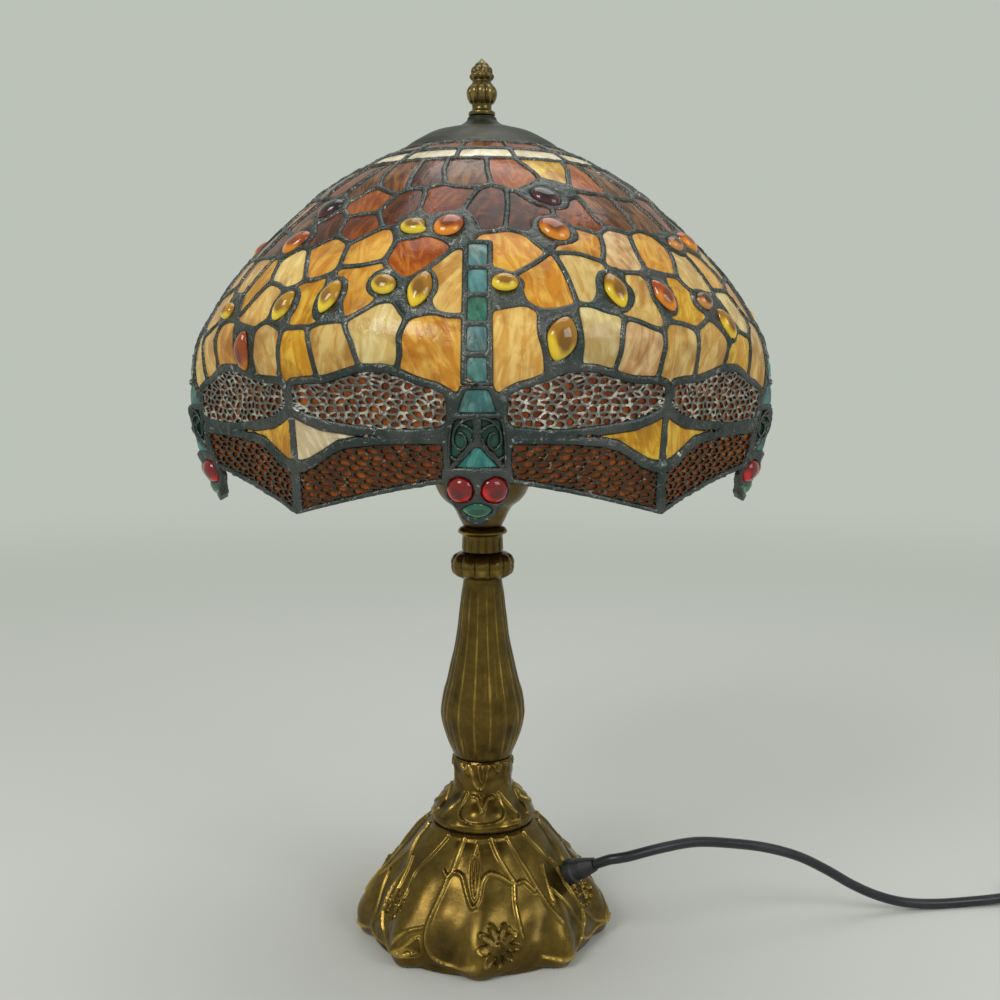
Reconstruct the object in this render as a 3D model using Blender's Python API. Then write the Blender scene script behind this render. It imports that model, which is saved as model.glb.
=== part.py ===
"""Stained glass table lamp with a dragonfly skirt, a cast base and a free cord.

Metres, +Z up. The origin is on the table under the lamp's axis; the front dragonfly faces -Y.
Every length below is in millimetres until it reaches a mesh, where MM turns it into metres.
"""
import math

import bmesh
import bpy
import numpy as np
from mathutils import Matrix, Vector

MM = 0.001
GAP = 0.3                      # clearance between touching pieces

# Shade
SHADE_SIDES = 5                # dragonflies round the skirt
GLASS = 3.2                    # glass and solder together
DOME_PROFILE = [(43.6, 420.0), (58.7, 413.0), (74.0, 404.0), (83.0, 398.0), (96.5, 386.0),
                (113.0, 370.0), (126.6, 355.0), (139.5, 336.0), (146.8, 322.0), (149.6, 312.0)]
BODY_LINE = [(149.6, 312.0), (150.6, 301.0), (150.4, 290.0), (148.4, 275.0), (145.4, 264.0),
             (141.4, 254.0), (137.0, 245.0)]
SEAM_LINE = [(138.8, 336.0), (144.2, 322.0), (143.6, 312.0), (141.4, 301.0), (139.6, 287.0),
             (138.4, 275.0), (137.4, 262.0), (136.6, 244.0)]
TAIL_TOP = 364.0               # upper end of a dragonfly's tail
TAIL_HALF = 5.4
THORAX_HALF = 12.6
WING_TOP = 312.0
WING_FOOT_BODY = 265.0         # lower edge of the wings beside a body
WING_FOOT_SEAM = 246.0         # lower edge of the wings at a seam
WING_ROWS = [311.0, 303.0, 294.0, 287.0, 275.0, 268.0]   # heights shared with the body's side

# Cap, finial and harp
CAP_RIM = 42.9
CAP_SEAT = 432.0               # flat underside of the cap's boss
STUD_RADIUS = 3.0
FINIAL_FOOT = 441.6
HARP_HALF = 47.0
HARP_WIRE = 1.5
HARP_TOP = 426.0
SADDLE_HALF = 20.75

# Stem
PIPE_RADIUS = 4.9
PIPE_BORE = 5.25               # hole in every piece that the pipe passes through
STEM_SIDES = 24

# Base
BASE_SIDES = 36
LOBES = 9
LOBE_DEPTH = 2.6
GLAND_AZIMUTH = math.radians(64.0)
GLAND_RISE = math.radians(26.0)
GLAND_SEAT = (49.6, 37.6)      # radius and height where the bushing's axis leaves the casting

# Cord
CORD = 5.5                     # diameter
CORD_REST = 3.0                # height of the cord's centre on the table
SWITCH_START = 318.0
SWITCH_LENGTH = 60.0
SWITCH_WIDTH = 24.0
SWITCH_HEIGHT = 15.0
SWITCH_ENTRY = 6.0             # height of the cord where it enters the switch
SWITCH_Y = 21.0
ROCKER_TILT = math.radians(7.0)
COIL_RADIUS = 30.5             # middle of the turns
COIL_PITCH = 5.5
COIL_CENTRE = (415.0, SWITCH_Y + COIL_RADIUS + 1.5 * COIL_PITCH)
PLUG_START = 88.0
PLUG_AXIS_X = COIL_CENTRE[0] + COIL_RADIUS + 1.5 * COIL_PITCH
PLUG_AXIS_Z = 7.4


def clear_scene():
    for obj in list(bpy.data.objects):
        bpy.data.objects.remove(obj, do_unlink=True)


def make_material(name, colour, roughness, metallic):
    material = bpy.data.materials.new(name)
    material.use_nodes = True
    shader = material.node_tree.nodes["Principled BSDF"]
    shader.inputs["Base Color"].default_value = (*colour, 1.0)
    shader.inputs["Roughness"].default_value = roughness
    shader.inputs["Metallic"].default_value = metallic
    return material


MATERIALS = {
    "bronze": ((0.20, 0.13, 0.045), 0.38, 0.9),
    "brass": ((0.55, 0.40, 0.16), 0.35, 1.0),
    "steel": ((0.45, 0.45, 0.44), 0.35, 1.0),
    "cap_metal": ((0.10, 0.10, 0.08), 0.42, 0.9),
    "amber_glass": ((0.72, 0.42, 0.12), 0.25, 0.0),
    "wing_glass": ((0.22, 0.07, 0.02), 0.30, 0.0),
    "teal_glass": ((0.10, 0.30, 0.30), 0.25, 0.0),
    "felt": ((0.05, 0.12, 0.07), 0.95, 0.0),
    "black_plastic": ((0.02, 0.02, 0.025), 0.45, 0.0),
    "cord_jacket": ((0.02, 0.02, 0.03), 0.40, 0.0),
    "bulb_glass": ((0.85, 0.85, 0.82), 0.20, 0.0),
    "bakelite": ((0.03, 0.028, 0.025), 0.40, 0.0),
}


def finish_mesh(bm, name, material, parent=None, smooth=30.0):
    """Turn a bmesh in millimetres into a named object with outward faces."""
    bmesh.ops.remove_doubles(bm, verts=bm.verts, dist=1e-4)
    bmesh.ops.recalc_face_normals(bm, faces=bm.faces)
    bmesh.ops.scale(bm, vec=(MM, MM, MM), verts=bm.verts)
    mesh = bpy.data.meshes.new(name)
    bm.to_mesh(mesh)
    bm.free()
    mesh.shade_smooth()
    mesh.set_sharp_from_angle(angle=math.radians(smooth))
    return place(bpy.data.objects.new(name, mesh), material, parent)


def place(obj, material, parent=None):
    obj.data.materials.append(material)
    bpy.context.scene.collection.objects.link(obj)
    if parent is not None:
        obj.parent = parent
        obj.location = -parent.location
    return obj


def axis_empty(name, height):
    """An empty on the lamp's axis, the parent of a body that turns or slides along it."""
    empty = bpy.data.objects.new(name, None)
    empty.location = (0.0, 0.0, height * MM)
    bpy.context.scene.collection.objects.link(empty)
    return empty


def spin_profile(bm, outline, sides):
    """Spin a closed (radius, height) outline a full turn round the Z axis."""
    verts = [bm.verts.new((r, 0.0, z)) for r, z in outline]
    edges = [bm.edges.new((verts[i - 1], verts[i])) for i in range(len(verts))]
    on_axis = [e for e in edges if max(abs(v.co.x) for v in e.verts) < 1e-6]
    for edge in on_axis:
        edges.remove(edge)
        bm.edges.remove(edge)
    bmesh.ops.spin(bm, geom=edges, cent=(0, 0, 0), axis=(0, 0, 1), dvec=(0, 0, 0),
                   angle=2 * math.pi, steps=sides, use_merge=True)


def turned(name, outline, material, sides=STEM_SIDES, parent=None, smooth=30.0):
    bm = bmesh.new()
    spin_profile(bm, outline, sides)
    return finish_mesh(bm, name, material, parent, smooth)


def cut(target, cutter):
    """Subtract one object from another and delete the cutter."""
    modifier = target.modifiers.new("cut", "BOOLEAN")
    modifier.operation = "DIFFERENCE"
    modifier.solver = "EXACT"
    modifier.object = cutter
    bpy.context.view_layer.update()
    depsgraph = bpy.context.evaluated_depsgraph_get()
    mesh = bpy.data.meshes.new_from_object(target.evaluated_get(depsgraph))
    target.modifiers.clear()
    target.data = mesh
    mesh.name = target.name
    bpy.data.objects.remove(cutter, do_unlink=True)


# ---------------------------------------------------------------- shade surface

def line_radius(line, height):
    """Radius at a height on a (radius, height) line that runs downwards."""
    heights = [z for r, z in reversed(line)]
    radii = [r for r, z in reversed(line)]
    return float(np.interp(height, heights, radii))


def outward(line, height):
    """Unit normal (radial, vertical) of a downward line, smoothed over 8 mm of height."""
    upper = min(height + 4.0, line[0][1])
    lower = max(height - 4.0, line[-1][1])
    run = line_radius(line, lower) - line_radius(line, upper)
    drop = upper - lower
    length = math.hypot(run, drop)
    return drop / length, run / length


FULL_BODY = DOME_PROFILE + BODY_LINE[1:]
FULL_SEAM = DOME_PROFILE[:-3] + SEAM_LINE


def shade_point(chord, span, height, body_offset, normal_share, depth):
    """A point of the shade between a body plane and a seam plane.

    chord runs from 0 at the body plane to 1 at the seam; body_offset keeps that many millimetres
    from the body plane at chord 0 and half of GAP from the seam plane at chord 1. depth moves the
    point along the shade's outward direction, turned with normal_share from one plane to the other.
    """
    body = line_radius(FULL_BODY, height)
    seam = line_radius(FULL_SEAM, height)
    start = Vector((body_offset, -body))
    seam_end = Vector((seam * math.sin(span), -seam * math.cos(span)))
    seam_end -= Vector((math.cos(span), math.sin(span))) * GAP / 2
    flat = start.lerp(seam_end, chord)
    roundness = min(max((height - 296.0) / 34.0, 0.0), 1.0)
    angle = math.atan2(flat.x, -flat.y)
    radius = body + (seam - body) * angle / span
    bow = flat.normalized() * radius
    point = flat.lerp(bow, roundness)
    if chord <= 0.0:
        point = Vector((body_offset, -math.sqrt(max(point.length ** 2 - body_offset ** 2, 0.0))))
    radial, vertical = outward(FULL_BODY, height)
    turn = span * normal_share
    point += Vector((math.sin(turn), -math.cos(turn))) * radial * depth
    return Vector((point.x, point.y, height + vertical * depth))


def shell_from_grid(bm, outer, inner):
    """Close two matching grids of points into one shell."""
    rows = len(outer)
    columns = len(outer[0])
    front = [[bm.verts.new(p) for p in row] for row in outer]
    back = [[bm.verts.new(p) for p in row] for row in inner]
    for i in range(rows - 1):
        for j in range(columns - 1):
            bm.faces.new((front[i][j], front[i][j + 1], front[i + 1][j + 1], front[i + 1][j]))
            bm.faces.new((back[i][j], back[i + 1][j], back[i + 1][j + 1], back[i][j + 1]))
    for j in range(columns - 1):
        bm.faces.new((front[0][j], back[0][j], back[0][j + 1], front[0][j + 1]))
        bm.faces.new((front[-1][j], front[-1][j + 1], back[-1][j + 1], back[-1][j]))
    for i in range(rows - 1):
        bm.faces.new((front[i][0], front[i + 1][0], back[i + 1][0], back[i][0]))
        bm.faces.new((front[i][-1], back[i][-1], back[i + 1][-1], front[i + 1][-1]))


def turned_copy(bm, name, material, parent, azimuth, mirrored=False):
    """Finish a piece built round the front plane, turned to its own azimuth."""
    if mirrored:
        bmesh.ops.scale(bm, vec=(-1, 1, 1), verts=bm.verts)
    bmesh.ops.rotate(bm, cent=(0, 0, 0), matrix=Matrix.Rotation(azimuth, 3, "Z"), verts=bm.verts)
    return finish_mesh(bm, name, material, parent, smooth=40.0)


def dome_panel(index, material, parent):
    """Glass between two dragonfly planes, from the crown ring down to the wings' upper edge."""
    heights = [z for r, z in DOME_PROFILE[:6]] + [TAIL_TOP + 0.8, TAIL_TOP + 0.2]
    heights += [z for r, z in DOME_PROFILE[6:]]
    heights[-1] = WING_TOP + GAP / 2
    half_span = math.pi / SHADE_SIDES
    outer = []
    inner = []
    for height in heights:
        offset = GAP / 2 if height > TAIL_TOP + 0.5 else TAIL_HALF + GAP
        for side, depth in ((outer, GLASS / 2), (inner, -GLASS / 2)):
            left = [shade_point(t, half_span, height, offset, t, depth) for t in (0, 0.25, 0.5, 0.75)]
            middle = shade_point(1.0, half_span, height, offset, 1.0, depth)
            along = Vector((math.sin(half_span), -math.cos(half_span), 0.0))
            middle -= (middle - along * middle.dot(along)) * Vector((1, 1, 0))
            across = Vector((math.cos(half_span), math.sin(half_span), 0.0))
            right = [p - across * 2 * p.dot(across) for p in reversed(left)]
            side.append(left + [middle] + right)
    bm = bmesh.new()
    shell_from_grid(bm, outer, inner)
    azimuth = index * 2 * half_span
    return turned_copy(bm, f"dome_panel_{index + 1}", material, parent, azimuth)


def body_half_width(height):
    """Half width of a dragonfly: tail, thorax, head and chin."""
    heights = [245.0, 248.0, 253.0, 258.0, 262.0, 265.0, 303.0, 311.0, 366.0]
    halves = [1.2, 5.0, 9.0, 13.2, 13.4, THORAX_HALF, THORAX_HALF, TAIL_HALF, TAIL_HALF]
    return float(np.interp(height, heights, halves))


def wing_panel(index, mirrored, material, parent):
    """One flat of the skirt, from a dragonfly's side to the fold between two dragonflies."""
    span = math.pi / SHADE_SIDES
    top = WING_TOP - GAP / 2
    outer = []
    inner = []
    for row_height in [top] + WING_ROWS + [WING_FOOT_BODY]:
        share = (top - row_height) / (top - WING_FOOT_BODY)
        for side, depth in ((outer, GLASS / 2), (inner, -GLASS / 2)):
            row = []
            for chord in (0.0, 0.25, 0.5, 0.75, 1.0):
                foot = WING_FOOT_BODY + (WING_FOOT_SEAM - WING_FOOT_BODY) * chord ** 1.3
                height = top + (foot - top) * share
                offset = body_half_width(height) + GAP
                row.append(shade_point(chord, span, height, offset, chord, depth))
            side.append(row)
    bm = bmesh.new()
    shell_from_grid(bm, outer, inner)
    side_name = "left" if mirrored else "right"
    azimuth = index * 2 * span
    return turned_copy(bm, f"wing_{index + 1}_{side_name}", material, parent, azimuth, mirrored)


def dragonfly(index, material, parent):
    """Tail, thorax, head and chin as one upright ribbon of glass."""
    heights = [TAIL_TOP - GAP / 2, 355.0, 336.0, 322.0] + WING_ROWS
    heights += [WING_FOOT_BODY, 262.0, 258.0, 253.0, 248.0, 245.0]
    outer = []
    inner = []
    for height in heights:
        radius = line_radius(FULL_BODY, height)
        radial, vertical = outward(FULL_BODY, height)
        half = body_half_width(height)
        for side, depth in ((outer, GLASS / 2), (inner, -GLASS / 2)):
            row = []
            for share in (-1.0, 0.0, 1.0):
                reach = math.sqrt(radius ** 2 - half ** 2) if height > 312.0 else radius
                row.append(Vector((share * half, -reach - radial * depth, height + vertical * depth)))
            side.append(row)
    bm = bmesh.new()
    shell_from_grid(bm, outer, inner)
    return turned_copy(bm, f"dragonfly_{index + 1}", material, parent,
                       index * 2 * math.pi / SHADE_SIDES)


def make_shade(mats, parent):
    for index in range(SHADE_SIDES):
        dome_panel(index, mats["amber_glass"], parent)
        dragonfly(index, mats["teal_glass"], parent)
        wing_panel(index, False, mats["wing_glass"], parent)
        wing_panel(index, True, mats["wing_glass"], parent)
    ring = [(42.2, 415.2), (42.2, 420.8), (38.2, 420.8), (38.2, 419.3), (40.4, 419.3), (40.4, 415.2)]
    turned("crown_ring", ring, mats["brass"], 36, parent)


def make_cap(mats, parent):
    top = [(3.6, 441.2), (7.2, 441.2), (8.6, 438.6), (13.0, 435.9), (20.0, 434.0), (27.7, 431.7),
           (37.0, 426.6), (CAP_RIM, 422.0), (CAP_RIM, 421.2)]
    under = [(40.6, 421.2), (35.6, 425.3), (26.8, 429.9), (19.6, 431.6), (10.0, CAP_SEAT),
             (3.6, CAP_SEAT)]
    turned("vase_cap", top + under, mats["cap_metal"], 36, parent)


def make_finial(mats, parent):
    outside = [(3.4, FINIAL_FOOT), (6.8, FINIAL_FOOT), (7.0, 443.2), (5.3, 444.6), (5.2, 447.4),
               (7.6, 451.4), (7.8, 453.8), (5.1, 459.0), (6.0, 462.6), (5.4, 465.6), (0.0, 471.0)]
    bore = [(0.0, 456.0), (3.4, 454.6)]
    turned("finial", outside + bore, mats["brass"], 18, parent)


# ---------------------------------------------------------------- stem and socket

def make_stem(mats):
    foot = [(PIPE_BORE, 62.3), (28.4, 62.3), (27.6, 67.6), (25.0, 71.2), (20.6, 75.0), (17.0, 78.6),
            (15.9, 86.0), (16.8, 95.0), (16.0, 97.4), (PIPE_BORE, 97.4)]
    turned("stem_foot", foot, mats["bronze"])
    column = [(PIPE_BORE, 97.7), (15.9, 97.7), (20.5, 110.6), (22.6, 119.0), (22.8, 124.0),
              (21.6, 133.0), (19.2, 142.0), (14.6, 164.0), (11.8, 187.0), (10.6, 197.0),
              (PIPE_BORE, 197.0)]
    turned("stem_column", column, mats["bronze"], 28)
    beads = [(PIPE_BORE, 197.3), (12.4, 197.3), (15.6, 199.6), (16.8, 203.6), (16.6, 206.8),
             (14.6, 210.0), (11.6, 211.4), (PIPE_BORE, 211.4)]
    turned("bead_collar", beads, mats["bronze"])
    sleeve = [(PIPE_BORE, 211.7), (11.0, 211.7), (10.9, 220.0), (13.2, 222.2), (12.4, 224.4),
              (10.8, 225.4), (PIPE_BORE, 225.4)]
    turned("neck_sleeve", sleeve, mats["bronze"])
    cup = [(PIPE_BORE, 225.7), (10.6, 225.7), (15.6, 235.6), (20.4, 239.6), (23.6, 243.6),
           (26.6, 250.4), (25.0, 250.4), (22.0, 244.4), (19.2, 241.0), (14.6, 237.6),
           (PIPE_BORE, 237.6)]
    turned("socket_cup", cup, mats["bronze"])


def hexagon_nut(name, across, low, high, material):
    """Six-sided nut with a round hole for the pipe."""
    steps = 24
    flat = math.pi / 3
    rings = []
    for height in (low, high):
        for round_hole in (False, True):
            ring = []
            for index in range(steps):
                angle = 2 * math.pi * index / steps
                from_flat = (angle + flat / 2) % flat - flat / 2
                reach = PIPE_BORE if round_hole else across / 2 / math.cos(from_flat)
                ring.append((reach * math.sin(angle), reach * math.cos(angle), height))
            rings.append(ring)
    bm = bmesh.new()
    low_rim, low_hole, high_rim, high_hole = [[bm.verts.new(p) for p in ring] for ring in rings]
    for index in range(steps):
        for first, second in ((low_rim, high_rim), (high_rim, high_hole),
                              (high_hole, low_hole), (low_hole, low_rim)):
            bm.faces.new((first[index - 1], first[index], second[index], second[index - 1]))
    return finish_mesh(bm, name, material)


def make_saddle(mats):
    """Bent strip that carries the harp's two feet, with a hole for the pipe."""
    thick = 1.5
    half_width = 7.0
    right = [(13.0, 238.0), (20.0 + thick, 246.4), (20.0 + thick, 255.0), (20.0, 255.0),
             (20.0, 246.9), (12.4, 238.0 + thick)]
    left = [(-x, z) for x, z in reversed(right)]
    bm = bmesh.new()
    verts = [bm.verts.new((x, -half_width, z)) for x, z in right + left]
    face = bm.faces.new(verts)
    moved = bmesh.ops.extrude_face_region(bm, geom=[face])["geom"]
    corners = [v for v in moved if isinstance(v, bmesh.types.BMVert)]
    bmesh.ops.translate(bm, vec=(0, 2 * half_width, 0), verts=corners)
    saddle = finish_mesh(bm, "harp_saddle", mats["brass"])
    hole = [(0.0, 230.0), (PIPE_BORE, 230.0), (PIPE_BORE, 245.0), (0.0, 245.0)]
    cut(saddle, turned("saddle_hole", hole, mats["brass"], 20))


def wire_curve(name, points, radius, resolution, material):
    """A round wire or tube with filled ends through points in millimetres."""
    curve = bpy.data.curves.new(name, "CURVE")
    curve.dimensions = "3D"
    curve.bevel_depth = radius * MM
    curve.bevel_resolution = resolution
    curve.use_fill_caps = True
    spline = curve.splines.new("POLY")
    spline.points.add(len(points) - 1)
    for slot, point in zip(spline.points, points):
        slot.co = (point[0] * MM, point[1] * MM, point[2] * MM, 1.0)
    return place(bpy.data.objects.new(name, curve), material)


def smooth_route(points, step):
    """Points a step apart along a Catmull-Rom curve through the given points."""
    knots = [np.array(p, dtype=float) for p in points]
    knots = [2 * knots[0] - knots[1]] + knots + [2 * knots[-1] - knots[-2]]
    fine = []
    for index in range(1, len(knots) - 2):
        before, start, end, after = knots[index - 1:index + 3]
        for t in np.linspace(0.0, 1.0, 24, endpoint=False):
            fine.append(0.5 * (2 * start + (end - before) * t
                               + (2 * before - 5 * start + 4 * end - after) * t ** 2
                               + (3 * start - before - 3 * end + after) * t ** 3))
    fine.append(knots[-2])
    fine = np.array(fine)
    travel = np.concatenate([[0.0], np.cumsum(np.linalg.norm(np.diff(fine, axis=0), axis=1))])
    count = max(2, round(travel[-1] / step))
    marks = np.linspace(0.0, travel[-1], count + 1)
    return [tuple(np.interp(marks, travel, fine[:, axis])[k] for axis in range(3))
            for k in range(count + 1)]


def make_harp(mats):
    side = [(SADDLE_HALF, 0, 267.0), (SADDLE_HALF + 0.6, 0, 271.0), (30.0, 0, 286.0),
            (43.0, 0, 312.0), (HARP_HALF, 0, 340.0), (42.0, 0, 370.0), (28.0, 0, 400.0),
            (15.0, 0, 420.0), (8.0, 0, 425.4)]
    other = [(-x, y, z) for x, y, z in reversed(side)]
    bow = smooth_route(side + [(0.0, 0, HARP_TOP)] + other, 15.0)
    feet = [(SADDLE_HALF, 0, 256.5), (-SADDLE_HALF, 0, 256.5)]
    wire_curve("harp_wire", feet[:1] + bow + feet[1:], HARP_WIRE, 2, mats["brass"])
    for name, centre in (("ferrule_right", SADDLE_HALF), ("ferrule_left", -SADDLE_HALF)):
        sleeve = [(1.9, 255.3), (3.3, 255.3), (3.3, 264.0), (2.4, 266.0), (1.9, 266.0)]
        ferrule = turned(name, sleeve, mats["brass"], 16)
        ferrule.location.x = centre * MM
    stud = [(0.0, 427.8), (8.0, 427.8), (8.0, 429.8), (STUD_RADIUS, 429.8), (STUD_RADIUS, 451.0),
            (2.4, 452.0), (0.0, 452.0)]
    turned("harp_stud", stud, mats["brass"], 20)


def make_socket(mats):
    shell = [(PIPE_BORE, 243.6), (13.5, 243.6), (16.2, 247.0), (16.2, 284.0), (15.6, 285.0),
             (14.6, 285.0), (14.6, 249.6), (PIPE_BORE, 249.6)]
    turned("socket_shell", shell, mats["bakelite"])
    liner = [(13.6, 251.0), (14.3, 251.0), (14.3, 281.0), (13.6, 281.0)]
    turned("socket_liner", liner, mats["brass"])


def make_bulb(mats, parent):
    cap = [(0.0, 250.4), (3.6, 250.4), (4.6, 252.6), (9.6, 254.4), (13.2, 257.6), (13.2, 281.6),
           (0.0, 281.6)]
    turned("bulb_cap", cap, mats["steel"], 20, parent)
    glass = [(0.0, 281.9), (12.8, 281.9), (13.6, 290.0), (17.6, 300.0), (25.0, 313.0), (29.2, 325.0),
             (29.6, 336.0), (26.4, 347.0), (19.0, 355.6), (0.0, 361.2)]
    turned("bulb_glass", glass, mats["bulb_glass"], 20, parent)


# ---------------------------------------------------------------- base

def base_lobes(angle, height):
    """Radial factor of the lily-pad lobes, strongest at the rim and gone near the top."""
    strength = min(max((46.0 - height) / 34.0, 0.0), 1.0)
    wave = math.cos(LOBES * angle) + 0.35 * math.cos(2 * LOBES * angle)
    return LOBE_DEPTH * strength * wave


def make_base(mats):
    outside = [(63.0, 0.8), (66.0, 4.0), (67.0, 10.0), (65.0, 17.6), (58.0, 29.0), (48.0, 40.4),
               (37.4, 53.6), (28.4, 62.0)]
    inside = [(PIPE_BORE, 62.0), (PIPE_BORE, 57.0), (25.0, 57.0), (42.0, 41.0), (51.6, 25.0),
              (52.6, 4.1), (55.2, 4.1), (55.2, 0.8)]
    bm = bmesh.new()
    spin_profile(bm, outside + inside, BASE_SIDES)
    bmesh.ops.remove_doubles(bm, verts=bm.verts, dist=1e-4)
    inner_face = [(27.8, 62.0), (42.0, 47.2), (57.2, 29.0), (62.2, 0.8)]
    for vert in bm.verts:
        reach = math.hypot(vert.co.x, vert.co.y)
        if reach > line_radius(inner_face, vert.co.z):
            angle = math.atan2(vert.co.x, -vert.co.y)
            factor = (reach + base_lobes(angle, vert.co.z)) / reach
            vert.co.x *= factor
            vert.co.y *= factor
    casting = finish_mesh(bm, "base_casting", mats["bronze"])
    hole = turned("gland_hole", [(0.0, -12.0), (4.9, -12.0), (4.9, 16.0), (0.0, 16.0)],
                  mats["bronze"], 20)
    aim(hole)
    cut(casting, hole)
    turned("bottom_plate", [(54.6, 2.4), (54.6, 3.8), (21.4, 3.8), (17.4, 10.5), (PIPE_BORE, 10.5),
                            (PIPE_BORE, 9.0), (16.4, 9.0), (20.4, 2.4)], mats["steel"], 32)
    turned("felt_pad", [(0.0, 0.0), (54.6, 0.0), (54.6, 2.1), (0.0, 2.1)], mats["felt"], 32)
    turned("pipe_washer", [(PIPE_BORE, 7.6), (9.5, 7.6), (9.5, 8.7), (PIPE_BORE, 8.7)],
           mats["steel"], 24)
    hexagon_nut("pipe_nut", 16.0, 3.4, 7.3, mats["steel"])
    hexagon_nut("saddle_nut", 15.0, 239.8, 243.2, mats["steel"])
    turned("lamp_pipe", [(3.7, 2.8), (PIPE_RADIUS, 2.8), (PIPE_RADIUS, 248.0), (3.7, 248.0)],
           mats["steel"], 20)


def gland_axis():
    flat = Vector((math.sin(GLAND_AZIMUTH), -math.cos(GLAND_AZIMUTH), 0.0))
    return flat * math.cos(GLAND_RISE) + Vector((0, 0, math.sin(GLAND_RISE)))


def gland_point(distance):
    """A point on the bushing's axis, in millimetres out from the casting's surface."""
    radius, height = GLAND_SEAT
    seat = Vector((radius * math.sin(GLAND_AZIMUTH), -radius * math.cos(GLAND_AZIMUTH), height))
    return seat + gland_axis() * distance


def aim(obj):
    """Stand an object built along +Z on the casting, along the bushing's axis."""
    obj.rotation_mode = "QUATERNION"
    obj.rotation_quaternion = Vector((0, 0, 1)).rotation_difference(gland_axis())
    obj.location = gland_point(0.0) * MM


GLAND_TIP = 19.5


def make_gland(mats):
    """Snap-in cord bushing: inner barb, neck in the wall, flange and a tapered sleeve."""
    outline = [(0.0, -7.4), (4.2, -7.4), (4.55, -6.0), (4.55, 2.6), (6.8, 2.6), (6.8, 6.4),
               (5.8, 7.4), (5.4, 12.0), (3.6, GLAND_TIP), (0.0, GLAND_TIP)]
    gland = turned("cord_gland", outline, mats["black_plastic"], 20)
    aim(gland)


def make_inner_lead(mats):
    """Lead from the bushing's inner end through the base and up inside the pipe."""
    start = gland_point(-7.8)
    after = gland_point(-14.0)
    points = [tuple(start), tuple(after), (26.0, -12.0, 20.0), (17.5, -7.5, 15.0),
              (12.0, -4.5, 13.6)]
    wire_curve("inner_lead", smooth_route(points, 5.0), 1.8, 2, mats["cord_jacket"])


# ---------------------------------------------------------------- cord and what is on it

def lead_route():
    """Centre of the cord from the bushing to the switch: a low arch, then along the table."""
    middle = [(77.0, -34.0, 52.2), (96.0, -28.6, 54.8), (116.0, -20.0, 54.6), (138.0, -12.0, 50.4),
              (158.0, -6.5, 45.6), (177.0, -2.0, 38.6), (194.0, 2.0, 29.0), (210.0, 5.6, 18.6),
              (226.0, 9.0, 10.4), (243.0, 12.0, 5.0), (262.0, 14.8, CORD_REST),
              (282.0, 17.6, CORD_REST), (300.0, 19.8, 3.8)]
    start = [tuple(gland_point(GLAND_TIP + 4.0)), tuple(gland_point(GLAND_TIP + 10.0))]
    end = [(309.0, 20.8, 5.4), (SWITCH_START - 4.0, SWITCH_Y, SWITCH_ENTRY)]
    return start + middle + end


def tail_route():
    """Centre of the short cord from the switch to the coil."""
    start = SWITCH_START + SWITCH_LENGTH + GAP
    return [(start, SWITCH_Y, SWITCH_ENTRY), (start + 3.0, SWITCH_Y, SWITCH_ENTRY),
            (start + 7.0, SWITCH_Y, 4.8), (start + 11.0, SWITCH_Y, 3.6), (start + 14.6, SWITCH_Y, 3.2)]


def make_cord(mats):
    exit_end = tuple(gland_point(GLAND_TIP + GAP))
    switch_end = (SWITCH_START - GAP, SWITCH_Y, SWITCH_ENTRY)
    lead = [exit_end] + smooth_route(lead_route(), 12.0) + [switch_end]
    wire_curve("cord_lead", lead, CORD / 2, 2, mats["cord_jacket"])
    wire_curve("cord_tail", tail_route(), CORD / 2, 2, mats["cord_jacket"])
    half_width = 2 * COIL_PITCH + 0.2
    inner = COIL_RADIUS - half_width
    outer = COIL_RADIUS + half_width
    ring = [(outer, 1.6), (outer, 10.0), (outer - 1.6, 11.5), (inner + 1.6, 11.5), (inner, 10.0),
            (inner, 1.6), (inner + 1.6, 0.2), (outer - 1.6, 0.2)]
    coil = turned("cord_coil", ring, mats["cord_jacket"], 32)
    coil.location = (COIL_CENTRE[0] * MM, COIL_CENTRE[1] * MM, 0.0)


def rounded_box(bm, low, high, radius):
    corners = bmesh.ops.create_cube(bm, size=1.0)["verts"]
    size = Vector(high) - Vector(low)
    middle = (Vector(high) + Vector(low)) / 2
    for vert in corners:
        vert.co = Vector((vert.co.x * size.x, vert.co.y * size.y, vert.co.z * size.z)) + middle
    bmesh.ops.bevel(bm, geom=list(bm.edges), offset=radius, segments=2, affect="EDGES", profile=0.5)


def make_switch(mats):
    end = SWITCH_START + SWITCH_LENGTH
    bm = bmesh.new()
    rounded_box(bm, (SWITCH_START, SWITCH_Y - SWITCH_WIDTH / 2, 0.2),
                (end, SWITCH_Y + SWITCH_WIDTH / 2, SWITCH_HEIGHT), 3.4)
    housing = finish_mesh(bm, "switch_housing", mats["black_plastic"])
    pivot = Vector(((SWITCH_START + end) / 2, SWITCH_Y, SWITCH_HEIGHT - 0.6))
    bm = bmesh.new()
    rounded_box(bm, (pivot.x - 9.0, SWITCH_Y - 5.4, pivot.z - 3.8),
                (pivot.x + 9.0, SWITCH_Y + 5.4, SWITCH_HEIGHT + 4.0), 0.6)
    cut(housing, finish_mesh(bm, "switch_pocket", mats["black_plastic"]))
    outline = [(-7.6, -1.8), (7.6, -1.8), (8.0, 1.9), (4.0, 1.5), (0.0, 1.2), (-4.0, 1.5), (-8.0, 1.9)]
    bm = bmesh.new()
    face = bm.faces.new([bm.verts.new((x, -4.8, z)) for x, z in outline])
    moved = bmesh.ops.extrude_face_region(bm, geom=[face])["geom"]
    corners = [v for v in moved if isinstance(v, bmesh.types.BMVert)]
    bmesh.ops.translate(bm, vec=(0, 9.6, 0), verts=corners)
    rocker = finish_mesh(bm, "switch_rocker", mats["black_plastic"])
    rocker.location = pivot * MM
    rocker.rotation_euler.y = -ROCKER_TILT


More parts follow.
